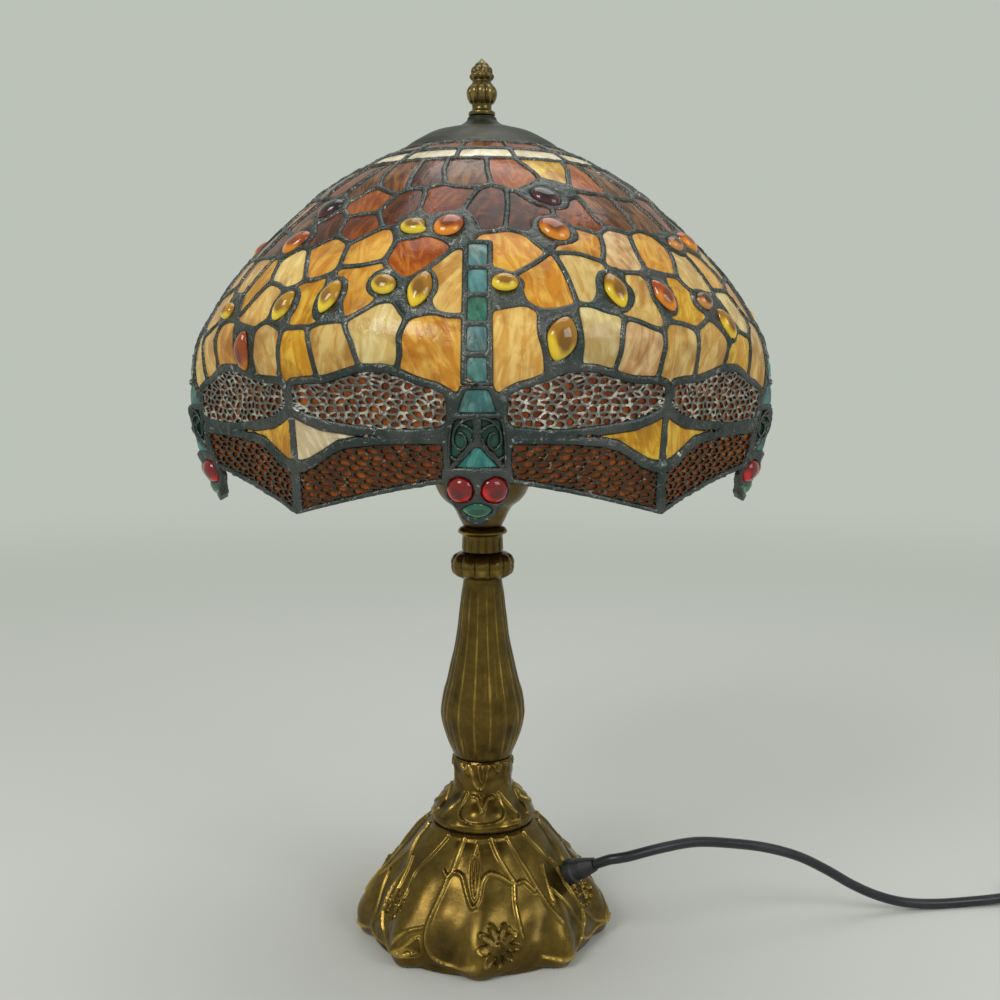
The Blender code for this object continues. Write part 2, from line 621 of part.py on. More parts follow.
def lofted(name, sections, material):
    """A closed form along +Y through rounded sections (y, half width, half height)."""
    sides = 16
    bm = bmesh.new()
    rings = []
    for y, half_width, half_height in sections:
        ring = []
        for index in range(sides):
            angle = 2 * math.pi * (index + 0.5) / sides
            cx = math.copysign(abs(math.cos(angle)) ** 0.6, math.cos(angle))
            cz = math.copysign(abs(math.sin(angle)) ** 0.6, math.sin(angle))
            ring.append(bm.verts.new((PLUG_AXIS_X + half_width * cx, y, PLUG_AXIS_Z + half_height * cz)))
        rings.append(ring)
    for near, far in zip(rings, rings[1:]):
        for index in range(sides):
            nxt = (index + 1) % sides
            bm.faces.new((near[index], near[nxt], far[nxt], far[index]))
    bm.faces.new(rings[0])
    bm.faces.new(rings[-1])
    return finish_mesh(bm, name, material)


def make_plug(mats):
    body_end = PLUG_START + 44.0
    sections = [(PLUG_START, 3.2, 3.2), (PLUG_START + 12.0, 4.6, 4.4), (PLUG_START + 16.0, 8.6, 6.0),
                (PLUG_START + 24.0, 11.0, 6.8), (body_end - 14.0, 12.6, 6.9), (body_end, 16.0, 6.9)]
    lofted("plug_body", sections, mats["black_plastic"])
    for name, offset in (("plug_pin_left", -9.3), ("plug_pin_right", 9.3)):
        outline = [(0.0, 0.0), (2.0, 0.0), (2.0, 17.6), (1.2, 19.0), (0.0, 19.0)]
        pin = turned(name, outline, mats["steel"], 14)
        pin.rotation_euler.x = -math.pi / 2
        pin.location = Vector((PLUG_AXIS_X + offset, body_end + GAP, PLUG_AXIS_Z)) * MM


def main():
    clear_scene()
    mats = {name: make_material(name, *look) for name, look in MATERIALS.items()}
    make_base(mats)
    make_gland(mats)
    make_inner_lead(mats)
    make_stem(mats)
    make_saddle(mats)
    make_harp(mats)
    make_socket(mats)
    make_bulb(mats, axis_empty("bulb_axis", 282.0))
    seat = axis_empty("shade_axis", CAP_SEAT)
    turned("seat_washer", [(3.6, 430.1), (9.5, 430.1), (9.5, 431.7), (3.6, 431.7)],
           mats["felt"], 24, seat)
    shade = axis_empty("shade_lift", CAP_SEAT)
    make_shade(mats, shade)
    make_cap(mats, shade)
    make_finial(mats, axis_empty("finial_axis", FINIAL_FOOT))
    make_cord(mats)
    make_switch(mats)
    make_plug(mats)


main()
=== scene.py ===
"""Looks of a stained glass table lamp: leaded glass shade, bronze stem and base, flex, switch and plug.

Lengths inside the functions are millimetres; a mesh is scaled to metres when it is made.
Azimuth 0 is the front (-Y) and grows towards +X.
"""

import math

import bpy
import numpy as np
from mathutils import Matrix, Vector
from mathutils.geometry import delaunay_2d_cdt


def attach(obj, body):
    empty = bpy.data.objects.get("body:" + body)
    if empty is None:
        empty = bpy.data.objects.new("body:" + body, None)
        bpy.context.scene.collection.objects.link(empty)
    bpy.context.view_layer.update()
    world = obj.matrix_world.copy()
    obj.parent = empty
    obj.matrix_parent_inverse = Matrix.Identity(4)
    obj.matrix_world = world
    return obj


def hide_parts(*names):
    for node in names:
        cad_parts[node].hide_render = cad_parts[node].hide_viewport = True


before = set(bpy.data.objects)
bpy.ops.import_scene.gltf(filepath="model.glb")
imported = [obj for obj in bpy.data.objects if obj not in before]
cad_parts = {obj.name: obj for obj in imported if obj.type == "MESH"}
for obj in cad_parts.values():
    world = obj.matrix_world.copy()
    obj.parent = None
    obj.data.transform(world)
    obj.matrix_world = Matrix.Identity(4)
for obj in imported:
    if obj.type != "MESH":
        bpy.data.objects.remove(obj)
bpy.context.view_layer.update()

MM = 0.001
TURN = 2 * math.pi
DEG = math.pi / 180

# ---------------------------------------------------------------- driving sizes, as in the CAD

SIDES = 5
SPAN = math.pi / SIDES                       # azimuth from a dragonfly to a seam
DOME = [(43.6, 420.0), (58.7, 413.0), (74.0, 404.0), (83.0, 398.0), (96.5, 386.0), (113.0, 370.0),
        (126.6, 355.0), (139.5, 336.0), (146.8, 322.0)]
BODY_LINE = DOME + [(149.6, 312.0), (150.6, 301.0), (150.4, 290.0), (148.4, 275.0),
                    (145.4, 264.0), (141.4, 254.0), (137.0, 245.0)]
SEAM_LINE = DOME[:-2] + [(138.8, 336.0), (144.2, 322.0), (143.6, 312.0), (141.4, 301.0), (139.6, 287.0),
                         (138.4, 275.0), (137.4, 262.0), (136.6, 244.0)]
FOOT_BODY = 265.0
FOOT_SEAM = 246.0
BLEND_LOW = 296.0                            # the ten flats of the skirt turn round above this
BLEND_RISE = 34.0

GLASS_FACE = 1.1                             # half the thickness of a piece of glass
LEAD_EDGE = 1.45                             # how far the lead stands out along a piece of glass
LEAD_CREST = 2.1                             # how far it stands out along its middle
BEZEL = 1.9                                  # how far it stands out round jewels and wings
STEP = 1.7                                   # spacing of points along a lead line
BORE = 5.25                                  # radius of the hole for the pipe through stem and base

CORD = 5.5
GLAND_AZIMUTH = 64.0 * DEG
GLAND_RISE = 26.0 * DEG
GLAND_SEAT = (49.6, 37.6)
GLAND_TIP = 19.5
SWITCH_START = 318.0
SWITCH_LENGTH = 60.0
SWITCH_Y = 21.0
COIL_CENTRE = (415.0, 59.75)
COIL_INNER = 22.25
COIL_OUTER = 38.75
PLUG_START = 88.0
PLUG_AXIS_Z = 7.4


# ---------------------------------------------------------------- small tools

def srgb(red, green, blue):
    """Linear colour of an 8-bit display colour."""
    out = []
    for value in (red, green, blue):
        share = value / 255
        out.append(share / 12.92 if share < 0.04045 else ((share + 0.055) / 1.055) ** 2.4)
    return tuple(out)


def smoothstep(value):
    value = np.clip(value, 0.0, 1.0)
    return value * value * (3 - 2 * value)


def waves(points, size, seed):
    """Smooth lumps between about -1 and 1, of the given size in mm, from a point's own position."""
    rng = np.random.default_rng(seed)
    total = np.zeros(len(points))
    for _ in range(9):
        direction = rng.normal(size=3)
        direction /= np.linalg.norm(direction)
        length = size * rng.uniform(0.7, 1.7)
        total += np.sin(points @ direction * TURN / length + rng.uniform(0, TURN))
    return total / 3.0


def ridge(value, at, wide):
    """1 where the value is at, falling to 0 over about wide on both sides."""
    return np.exp(-((value - at) / wide) ** 2)


def in_scene(name, data):
    """A new object in the scene."""
    obj = bpy.data.objects.new(name, data)
    bpy.context.scene.collection.objects.link(obj)
    return obj


def make_mesh(name, points, faces, material, smooth=None):
    """A new object from points in mm and faces; smooth is the largest angle shaded smooth."""
    mesh = bpy.data.meshes.new(name)
    mesh.from_pydata((np.asarray(points, float) * MM).tolist(), [], faces)
    mesh.validate()
    mesh.polygons.foreach_set("use_smooth", [True] * len(mesh.polygons))
    if smooth is not None:
        mesh.set_sharp_from_angle(angle=smooth * DEG)
    mesh.materials.append(material)
    return in_scene(name, mesh)


def paint(obj, name, values):
    """Store one vector per vertex for the material to read."""
    layer = obj.data.attributes.new(name, "FLOAT_VECTOR", "POINT")
    layer.data.foreach_set("vector", np.asarray(values, np.float32).ravel())


def smooth_line(points, spacing):
    """Catmull-Rom curve through the points, with a point about every spacing mm."""
    points = np.array([2 * np.array(points[0]) - points[1], *points, 2 * np.array(points[-1]) - points[-2]])
    out = []
    for k in range(1, len(points) - 2):
        p0, p1, p2, p3 = points[k - 1:k + 3]
        count = max(1, round(np.linalg.norm(p2 - p1) / spacing))
        for t in np.arange(count) / count:
            out.append(0.5 * (2 * p1 + (p2 - p0) * t + (2 * p0 - 5 * p1 + 4 * p2 - p3) * t * t
                              + (3 * p1 - p0 - 3 * p2 + p3) * t ** 3))
    out.append(points[-2])
    return np.array(out)


# ---------------------------------------------------------------- materials

def new_material(name, metallic=0.0, **sockets):
    """A material with its own tree; sockets are constants of its shader."""
    material = bpy.data.materials.new(name)
    material.use_nodes = True
    tree = material.node_tree
    shader = tree.nodes["Principled BSDF"]
    shader.inputs["Metallic"].default_value = metallic
    for socket, value in sockets.items():
        shader.inputs[socket.replace("_", " ")].default_value = value
    return material, tree, shader


def feed(tree, socket, value):
    """Link a socket to an input, or set the input to a constant."""
    if isinstance(value, bpy.types.NodeSocket):
        tree.links.new(value, socket)
    else:
        socket.default_value = value


def node(tree, kind, inputs=None, **settings):
    new = tree.nodes.new(kind)
    for key, value in settings.items():
        setattr(new, key, value)
    for key, value in (inputs or {}).items():
        feed(tree, new.inputs[key], value)
    return new


def attribute(tree, name, output="Vector"):
    """A value stored on the mesh."""
    return node(tree, "ShaderNodeAttribute", attribute_name=name).outputs[output]


def object_coords(tree, stretch=(1.0, 1.0, 1.0)):
    """The object's own coordinates in metres."""
    coords = node(tree, "ShaderNodeTexCoord").outputs["Object"]
    return node(tree, "ShaderNodeMapping", {"Vector": coords, "Scale": stretch}).outputs[0]


def noise(tree, vector, scale, detail=4.0, roughness=0.55, distortion=0.0):
    return node(tree, "ShaderNodeTexNoise", {"Vector": vector, "Scale": scale, "Detail": detail,
                                             "Roughness": roughness,
                                             "Distortion": distortion}).outputs["Fac"]


def ramp(tree, factor, low, high, out_low=0.0, out_high=1.0):
    """Factor between low and high, eased, onto out_low to out_high."""
    return node(tree, "ShaderNodeMapRange", {"Value": factor, "From Min": low, "From Max": high,
                                             "To Min": out_low, "To Max": out_high},
                interpolation_type="SMOOTHSTEP").outputs["Result"]


def mix(tree, factor, first, second, blend="MIX"):
    """Colour mix; each of first and second is a colour or a socket."""
    sides = [c if isinstance(c, bpy.types.NodeSocket) else (*c, 1.0) for c in (first, second)]
    new = node(tree, "ShaderNodeMix", data_type="RGBA", blend_type=blend)
    for place, value in zip((0, 6, 7), (factor, *sides)):
        feed(tree, new.inputs[place], value)
    return new.outputs[2]


def dimmed(tree, colour, share):
    """A colour times a constant one."""
    return mix(tree, 1.0, colour, share, "MULTIPLY")


def maths(tree, operation, first, second=0.0):
    return node(tree, "ShaderNodeMath", {0: first, 1: second}, operation=operation).outputs[0]


def total(tree, first, second, share=1.0):
    """first plus a share of second."""
    return maths(tree, "ADD", first, maths(tree, "MULTIPLY", second, share))


def bump(tree, shader, height, strength, distance):
    """Bump of a height field; distance is in mm."""
    new = node(tree, "ShaderNodeBump", {"Height": height, "Strength": strength,
                                        "Distance": distance * MM})
    tree.links.new(new.outputs[0], shader.inputs["Normal"])


def link(tree, output, shader, socket):
    tree.links.new(output, shader.inputs[socket])


def opal_glass():
    """Streaky opalescent glass: each piece has two tones and a run of streaks of its own."""
    material, tree, shader = new_material("opal_glass", Specular_IOR_Level=0.3, Subsurface_Weight=0.06,
                                          Subsurface_Scale=0.004, Subsurface_Radius=(1.0, 0.6, 0.3))
    tone, tint, flow = (attribute(tree, name) for name in ("tone", "tint", "flow"))
    long_flow = node(tree, "ShaderNodeMapping", {"Vector": flow, "Scale": (1.0, 0.28, 1.0)}).outputs[0]
    streak = noise(tree, long_flow, 0.16, 5.0, 0.55, 1.6)
    cloud = noise(tree, flow, 0.07, 3.0, 0.5, 0.6)
    fine = noise(tree, long_flow, 0.7, 3.0, 0.6, 0.8)
    ripple = noise(tree, flow, 0.11, 3.0, 0.5, 0.8)
    colour = mix(tree, ramp(tree, streak, 0.40, 0.66), tone, tint)
    deep = dimmed(tree, colour, (0.55, 0.42, 0.33))
    colour = mix(tree, ramp(tree, cloud, 0.56, 0.36, 0.0, 0.6), colour, deep)
    pale = mix(tree, ramp(tree, fine, 0.60, 0.80, 0.0, 0.35), colour, tint)
    link(tree, pale, shader, "Base Color")
    link(tree, ramp(tree, fine, 0.35, 0.7, 0.10, 0.24), shader, "Roughness")
    bump(tree, shader, total(tree, ripple, streak, 0.5), 0.35, 1.2)
    return material


def jewel_glass():
    """Clear domed glass with painted light: a painted dark heart of shade and a painted bright crescent where
    the light gathers low in it.
    """
    material, tree, shader = new_material("jewel_glass", Coat_Weight=0.6, Coat_Roughness=0.02,
                                          Specular_IOR_Level=0.35, Subsurface_Weight=0.3,
                                          Subsurface_Scale=0.003, Subsurface_Radius=(1.0, 0.5, 0.2))
    tone, tint, flow = (attribute(tree, name) for name in ("tone", "tint", "flow"))
    across, along, _ = node(tree, "ShaderNodeSeparateXYZ", {"Vector": flow}).outputs
    squares = [maths(tree, "MULTIPLY", side, side) for side in (across, along)]
    reach = maths(tree, "SQRT", maths(tree, "ADD", *squares))
    swirl = noise(tree, flow, 1.3, 3.0, 0.5, 0.8)
    # painted light: edge and low mask a bright crescent near the dome's lower rim
    edge = ramp(tree, total(tree, reach, swirl, 0.3), 0.55, 0.95)
    low = ramp(tree, total(tree, along, across, 0.35), 0.15, -0.45)
    glow = maths(tree, "MULTIPLY", edge, low)
    # painted shade: the heart of the dome is darkened towards its middle
    heart_shade = ramp(tree, total(tree, reach, along, 0.4), 0.25, 0.62, 0.45, 1.0)
    body = mix(tree, heart_shade, dimmed(tree, tone, (0.30, 0.20, 0.14)), tone)
    link(tree, mix(tree, glow, body, tint), shader, "Base Color")
    link(tree, ramp(tree, swirl, 0.3, 0.8, 0.03, 0.09), shader, "Roughness")
    return material


def solder(name, dark, bright, highlight_low, highlight_high, lift):
    """Patinated solder: dark slate with patches of painted silver highlight over its lumps."""
    material, tree, shader = new_material(name, 0.9)
    coords = object_coords(tree)
    patch = noise(tree, coords, 240.0, 4.0, 0.6, 0.6)
    speck = noise(tree, coords, 620.0, 4.0, 0.65)
    tarnish = noise(tree, coords, 45.0, 3.0, 0.5)
    base = mix(tree, ramp(tree, tarnish, 0.42, 0.62), dark, tuple(c * k for c, k in zip(dark, lift)))
    # painted highlight: noise patches of bright silver standing in for light caught on the solder's lumps
    painted_highlight = ramp(tree, patch, highlight_low, highlight_high)
    link(tree, mix(tree, painted_highlight, base, bright), shader, "Base Color")
    link(tree, ramp(tree, speck, 0.3, 0.7, 0.20, 0.38), shader, "Roughness")
    bump(tree, shader, total(tree, patch, speck, 0.3), 0.8, 1.1)
    return material


def cast_metal(name, low, mid, high, wear_scale=34.0, roughness=(0.20, 0.36), grain=(260.0, 0.25)):
    """Cast metal under a rubbed antique finish: dark hollows, warm middle tone and worn spots."""
    material, tree, shader = new_material(name, 0.85)
    coords = object_coords(tree)
    broad = noise(tree, coords, wear_scale, 5.0, 0.6, 0.5)
    fine = noise(tree, coords, grain[0], 4.0, 0.65)
    worn = total(tree, maths(tree, "MULTIPLY", attribute(tree, "relief", "Fac"), 0.55), broad, 0.6)
    colour = mix(tree, ramp(tree, worn, 0.18, 0.52), low, mid)
    colour = mix(tree, ramp(tree, worn, 0.58, 0.95), colour, high)
    dusk = dimmed(tree, colour, (0.62, 0.60, 0.55))
    colour = mix(tree, ramp(tree, fine, 0.62, 0.40, 0.0, 0.5), colour, dusk)
    link(tree, colour, shader, "Base Color")
    link(tree, ramp(tree, broad, 0.3, 0.7, roughness[1], roughness[0]), shader, "Roughness")
    bump(tree, shader, fine, grain[1], 0.4)
    return material


def plain_metal(name, colour, dull, roughness=(0.18, 0.38), streaks=(1.0, 1.0, 0.15)):
    """Turned or plated metal with fine tool marks and cloudy tarnish."""
    material, tree, shader = new_material(name, 1.0)
    coords = object_coords(tree, streaks)
    cloud = noise(tree, object_coords(tree), 60.0, 4.0, 0.6)
    lines = noise(tree, coords, 900.0, 3.0, 0.6)
    link(tree, mix(tree, ramp(tree, cloud, 0.38, 0.66), colour, dull), shader, "Base Color")
    link(tree, ramp(tree, maths(tree, "ADD", cloud, lines), 0.7, 1.3, *roughness), shader, "Roughness")
    bump(tree, shader, lines, 0.12, 0.1)
    return material


def soft_plastic(name, colour, scuffed, roughness=(0.32, 0.55), grain=700.0, strength=0.12):
    """Moulded plastic or rubber with a fine grain, faint scuffs and uneven gloss."""
    material, tree, shader = new_material(name, 0.0)
    coords = object_coords(tree)
    cloud = noise(tree, coords, 70.0, 4.0, 0.6)
    fine = noise(tree, coords, grain, 3.0, 0.6)
    link(tree, mix(tree, ramp(tree, cloud, 0.45, 0.75), colour, scuffed), shader, "Base Color")
    link(tree, ramp(tree, cloud, 0.3, 0.7, *roughness), shader, "Roughness")
    bump(tree, shader, fine, strength, 0.15)
    return material


def felt_cloth():
    material, tree, shader = new_material("felt_cloth", 0.0, Sheen_Weight=0.5, Sheen_Roughness=0.6)
    coords = object_coords(tree)
    fibre = noise(tree, object_coords(tree, (1.0, 1.0, 0.3)), 900.0, 5.0, 0.7, 1.5)
    cloud = noise(tree, coords, 80.0, 3.0, 0.5)
    colour = mix(tree, ramp(tree, fibre, 0.35, 0.7), (0.010, 0.028, 0.016), (0.030, 0.070, 0.042))
    link(tree, colour, shader, "Base Color")
    link(tree, ramp(tree, cloud, 0.3, 0.7, 0.85, 1.0), shader, "Roughness")
    bump(tree, shader, fibre, 0.6, 0.5)
    return material


def frosted_glass():
    material, tree, shader = new_material("frosted_glass", 0.0, Subsurface_Weight=0.4,
                                          Subsurface_Scale=0.004)
    coords = object_coords(tree)
    cloud = noise(tree, coords, 40.0, 4.0, 0.6)
    fine = noise(tree, coords, 900.0, 2.0, 0.5)
    link(tree, mix(tree, ramp(tree, cloud, 0.35, 0.7), (0.78, 0.78, 0.74), (0.90, 0.89, 0.85)),
         shader, "Base Color")
    link(tree, ramp(tree, cloud, 0.3, 0.7, 0.28, 0.42), shader, "Roughness")
    bump(tree, shader, fine, 0.08, 0.05)
    return material


LOOKS = {
    "opal": opal_glass(),
    "jewel": jewel_glass(),
    "lead": solder("patinated_solder", (0.095, 0.100, 0.096), (0.50, 0.50, 0.47), 0.60, 0.76,
                   (0.55, 0.66, 0.66)),
    "filigree": solder("filigree_metal", (0.19, 0.185, 0.165), (0.66, 0.64, 0.58), 0.48, 0.64,
                       (0.8, 0.8, 0.8)),
    "lace": solder("dark_filigree", (0.080, 0.056, 0.036), (0.42, 0.36, 0.27), 0.58, 0.74,
                   (0.8, 0.9, 0.9)),
    "bronze": cast_metal("antique_bronze", (0.034, 0.022, 0.006), (0.15, 0.095, 0.018),
                         (0.58, 0.38, 0.08)),
    "finial": cast_metal("antique_brass", (0.030, 0.023, 0.010), (0.15, 0.105, 0.036),
                         (0.50, 0.36, 0.13), 80.0),
    "cap": cast_metal("cap_patina", (0.018, 0.019, 0.013), (0.034, 0.035, 0.024),
                      (0.10, 0.095, 0.06), 24.0, (0.34, 0.50), (420.0, 0.12)),
    "brass": plain_metal("satin_brass", (0.55, 0.40, 0.16), (0.30, 0.20, 0.07)),
    "steel": plain_metal("plated_steel", (0.50, 0.50, 0.49), (0.30, 0.29, 0.27)),
    "black": soft_plastic("black_plastic", (0.012, 0.012, 0.015), (0.030, 0.030, 0.034)),
    "cord": soft_plastic("cord_jacket", (0.010, 0.010, 0.016), (0.024, 0.024, 0.034), (0.26, 0.42)),
    "rubber": soft_plastic("washer_rubber", (0.020, 0.020, 0.020), (0.05, 0.05, 0.05), (0.6, 0.8)),
    "bakelite": soft_plastic("bakelite", (0.016, 0.012, 0.010), (0.04, 0.03, 0.024), (0.16, 0.3)),
    "felt": felt_cloth(),
    "frost": frosted_glass(),
}


# ---------------------------------------------------------------- the shade's surface

def arc_table(line):
    """Dense arc length, radius and height along a smooth curve through the profile's points."""
    points = np.array(line, float)
    at = np.concatenate([[0], np.cumsum(np.hypot(*np.diff(points, axis=0).T))])
    slope = np.gradient(points, at, axis=0)
    dense = np.linspace(0, at[-1], 900)
    piece = np.clip(np.searchsorted(at, dense, side="right") - 1, 0, len(points) - 2)
    width = (at[piece + 1] - at[piece])[:, None]
    u = (dense - at[piece])[:, None] / width
    curve = ((2 * u ** 3 - 3 * u ** 2 + 1) * points[piece] + (u ** 3 - 2 * u ** 2 + u) * width * slope[piece]
             + (3 * u ** 2 - 2 * u ** 3) * points[piece + 1] + (u ** 3 - u ** 2) * width * slope[piece + 1])
    arc = np.concatenate([[0], np.cumsum(np.hypot(*np.diff(curve, axis=0).T))])
    return arc, curve[:, 0], curve[:, 1]


ARC, ARC_R, ARC_Z = arc_table(BODY_LINE)
_, SEAM_R, SEAM_Z = arc_table(SEAM_LINE)
SPREAD = np.concatenate([[0], np.cumsum(np.diff(ARC) * 2 / (ARC_R[1:] + ARC_R[:-1]))])


def arc_of(height):
    """Arc length from the top of the glass at a height."""
    return np.interp(-np.asarray(height, float), -ARC_Z, ARC)


def radius_of(arc):
    return np.interp(arc, ARC, ARC_R)


def middle(azimuth, arc):
    """Point on the middle of the glass: round dome above, ten flat panels below."""
    height = np.interp(arc, ARC, ARC_Z)
    body = np.interp(arc, ARC, ARC_R)
    seam = np.interp(-height, -SEAM_Z, SEAM_R)
    off = np.abs((azimuth + SPAN) % (2 * SPAN) - SPAN)
    round_radius = body + (seam - body) * off / SPAN
    flat = body * seam * math.sin(SPAN) / (body * np.sin(off) + seam * np.sin(SPAN - off))
    radius = flat + (round_radius - flat) * smoothstep((height - BLEND_LOW) / BLEND_RISE)
    return np.stack([radius * np.sin(azimuth), -radius * np.cos(azimuth), height], -1)


def skin(azimuth, arc, depth):
    """Point at an azimuth (radians) and arc length (mm), depth mm outside the middle of the glass."""
    azimuth = np.asarray(azimuth, float)
    arc = np.clip(np.asarray(arc, float), 0.3, ARC[-1] - 0.3)
    turn = 0.6 / radius_of(arc)
    side = middle(azimuth + turn, arc) - middle(azimuth - turn, arc)
    down = middle(azimuth, arc + 0.3) - middle(azimuth, arc - 0.3)
    normal = np.cross(down, side)
    normal /= np.linalg.norm(normal, axis=-1, keepdims=True)
    return middle(azimuth, arc) + normal * np.asarray(depth, float)[..., None]


def chord_azimuth(share, height):
    """Azimuth of a point part of the way from a body line to a seam along the flat panel."""
    body = np.interp(arc_of(height), ARC, ARC_R)
    seam = np.interp(-np.asarray(height, float), -SEAM_Z, SEAM_R)
    share = np.asarray(share, float)
    return np.arctan2(share * seam * math.sin(SPAN), (1 - share) * body + share * seam * math.cos(SPAN))


def plane_y(arc):
    """Height in the conformal plane of a ring at an arc length."""
    return -np.interp(arc, ARC, SPREAD)


def to_plane(azimuth, arc):
    """Conformal plane of the shade, so that a power diagram drawn there keeps its shape."""
    return np.stack([np.asarray(azimuth, float), plane_y(arc)], -1)


def from_plane(points):
    """Azimuth and arc length of points in the conformal plane."""
    points = np.asarray(points, float)
    return points[..., 0], np.interp(-points[..., 1], SPREAD, ARC)


def flatten(azimuth, arc, origin):
    """Nearly true millimetres around an azimuth: x to the right and y up."""
    return np.stack([(azimuth - origin) * radius_of(arc), -np.asarray(arc, float)], -1)


def unflatten(points, origin):
    """Azimuth and arc length of places in flat millimetres."""
    arc = -points[..., 1]
    return origin + points[..., 0] / radius_of(arc), arc


# ---------------------------------------------------------------- the glass pattern

TONES = {                                    # two display colours of each kind of glass
    "peach": ((200, 148, 70), (222, 190, 118)),
    "cream": ((210, 176, 104), (230, 208, 148)),
    "rose": ((190, 138, 84), (218, 184, 132)),
    "amber": ((196, 126, 34), (222, 170, 74)),
    "gold": ((198, 138, 24), (226, 184, 68)),
    "orange": ((150, 68, 8), (190, 112, 26)),
    "rust": ((98, 40, 0), (140, 68, 6)),
    "brown": ((60, 22, 0), (104, 46, 4)),
    "streaky": ((76, 32, 2), (136, 84, 26)),
    "white": ((222, 204, 170), (240, 230, 208)),
    "pearl": ((190, 172, 140), (222, 210, 186)),
    "blue": ((76, 116, 126), (118, 152, 158)),
    "teal": ((38, 104, 100), (76, 142, 134)),
    "sea": ((62, 108, 108), (102, 146, 144)),
    "green": ((48, 100, 84), (84, 134, 112)),
    "moss": ((22, 56, 48), (42, 82, 70)),
    "wing": ((124, 52, 6), (176, 92, 22)),
}
JEWELS = {                                   # body colour and painted crescent of light of each kind of jewel
    "honey": ((156, 108, 4), (236, 200, 44)),
    "yellow": ((172, 124, 4), (242, 208, 52)),
    "orange": ((152, 66, 2), (226, 138, 24)),
    "brown": ((88, 40, 8), (206, 140, 70)),
    "plum": ((26, 8, 12), (80, 30, 34)),
    "red": ((120, 0, 0), (214, 2, 0)),
    "chin": ((36, 96, 76), (92, 158, 120)),
}

# azimuth in degrees, arc length from the top in mm, glass; a dragonfly stands at every 72 degrees
RIGHT_GLASS = [
    (7, 146, "peach"), (21.5, 144, "cream"), (29, 149, "rose"), (38.5, 152, "peach"),
    (46.5, 150, "peach"), (57, 152, "gold"), (66, 148, "peach"),
    (6.5, 100, "amber"), (12.5, 116, "amber"), (20.5, 112, "peach"), (30.5, 126, "peach"),
    (41.5, 126, "gold"), (59.5, 128, "cream"), (66.5, 120, "amber"),
    (31, 97, "rose"), (40.5, 100, "amber"), (49.5, 108, "cream"), (57, 106, "amber"), (66, 99, "peach"),
    (2.5, 73, "brown"), (10.8, 74, "brown"), (24.5, 77, "rust"), (34.5, 70, "streaky"),
    (47.5, 72, "streaky"), (57.5, 68, "rust"), (67, 72, "brown"),
    (10.5, 44, "orange"), (24.5, 38, "gold"), (36, 45, "orange"), (47, 44, "streaky"),
    (58, 41, "brown"), (68.5, 43, "orange"), (22, 92, "amber"),
]
RIGHT_JEWELS = [  # azimuth, arc, jewel, half width, half height, lean in degrees, roundness
    (14.0, 144.0, "honey", 6.6, 10.0, -20, 1.6), (4.9, 118.0, "yellow", 6.0, 4.4, 0, 2.0),
    (25.8, 121.0, "honey", 5.4, 9.0, 8, 1.6), (36.5, 123.0, "orange", 5.0, 9.0, 22, 1.6),
    (47.8, 124.5, "brown", 5.4, 4.6, 0, 2.0), (52.4, 136.0, "honey", 4.6, 8.4, 20, 1.6),
    (51.5, 90.0, "brown", 5.6, 4.6, 20, 2.0), (17.0, 86.0, "orange", 6.2, 8.0, 34, 2.0),
    (18.0, 63.0, "plum", 5.6, 7.4, 46, 2.0), (60.5, 86.5, "orange", 5.4, 6.8, 30, 2.0),
]
LEFT_GLASS = [
    (-7.5, 150, "amber"), (-17, 143, "cream"), (-26, 150, "peach"), (-33.5, 152, "gold"),
    (-41, 151, "peach"), (-54.5, 151, "amber"), (-62, 148, "peach"), (-69, 151, "cream"),
    (-5.8, 117, "peach"), (-22.4, 117, "amber"), (-32.6, 126, "gold"), (-44.5, 125, "peach"),
    (-50, 114, "gold"), (-56.5, 108, "peach"), (-65, 128, "gold"), (-66.5, 108, "amber"),
    (-13, 103, "orange"), (-24, 97, "amber"), (-33.5, 100, "amber"), (-41.5, 108, "cream"),
    (-30, 82, "rust"), (-38, 83, "brown"), (-9, 66, "rust"), (-20.5, 70, "brown"),
    (-31, 64, "orange"), (-5.5, 44, "streaky"), (-16.5, 46, "brown"), (-27, 47, "streaky"),
    (-37, 50, "streaky"), (-53, 72, "streaky"), (-49, 46, "rust"), (-57, 90, "brown"),
    (-66, 86, "rust"), (-63, 66, "orange"), (-60.5, 43, "streaky"), (-70.5, 62, "brown"),
]
LEFT_JEWELS = [
    (-10.2, 121.0, "honey", 5.2, 9.4, -12, 1.6), (-17.2, 118.5, "yellow", 6.0, 5.0, -24, 2.0),
    (-27.6, 124.0, "yellow", 4.8, 8.6, -16, 1.6), (-38.0, 128.0, "yellow", 4.8, 8.2, -24, 1.6),
    (-57.0, 129.0, "yellow", 5.4, 4.6, 0, 2.0), (-47.5, 149.0, "orange", 5.2, 9.6, -14, 1.6),
    (-14.3, 84.5, "yellow", 6.8, 4.8, -10, 2.0), (-6.6, 84.0, "orange", 6.2, 7.2, -34, 2.0),
    (-46.5, 90.0, "orange", 5.6, 8.0, -38, 2.0), (-44.0, 67.0, "plum", 5.2, 7.2, -46, 2.0),
]
GLASS_TOP = 27.0                             # arc length where the free pattern starts
WHITE_RING = (14.0, 26.8)
BROWN_RING = (0.6, 13.6)
RING_PIECES = 15

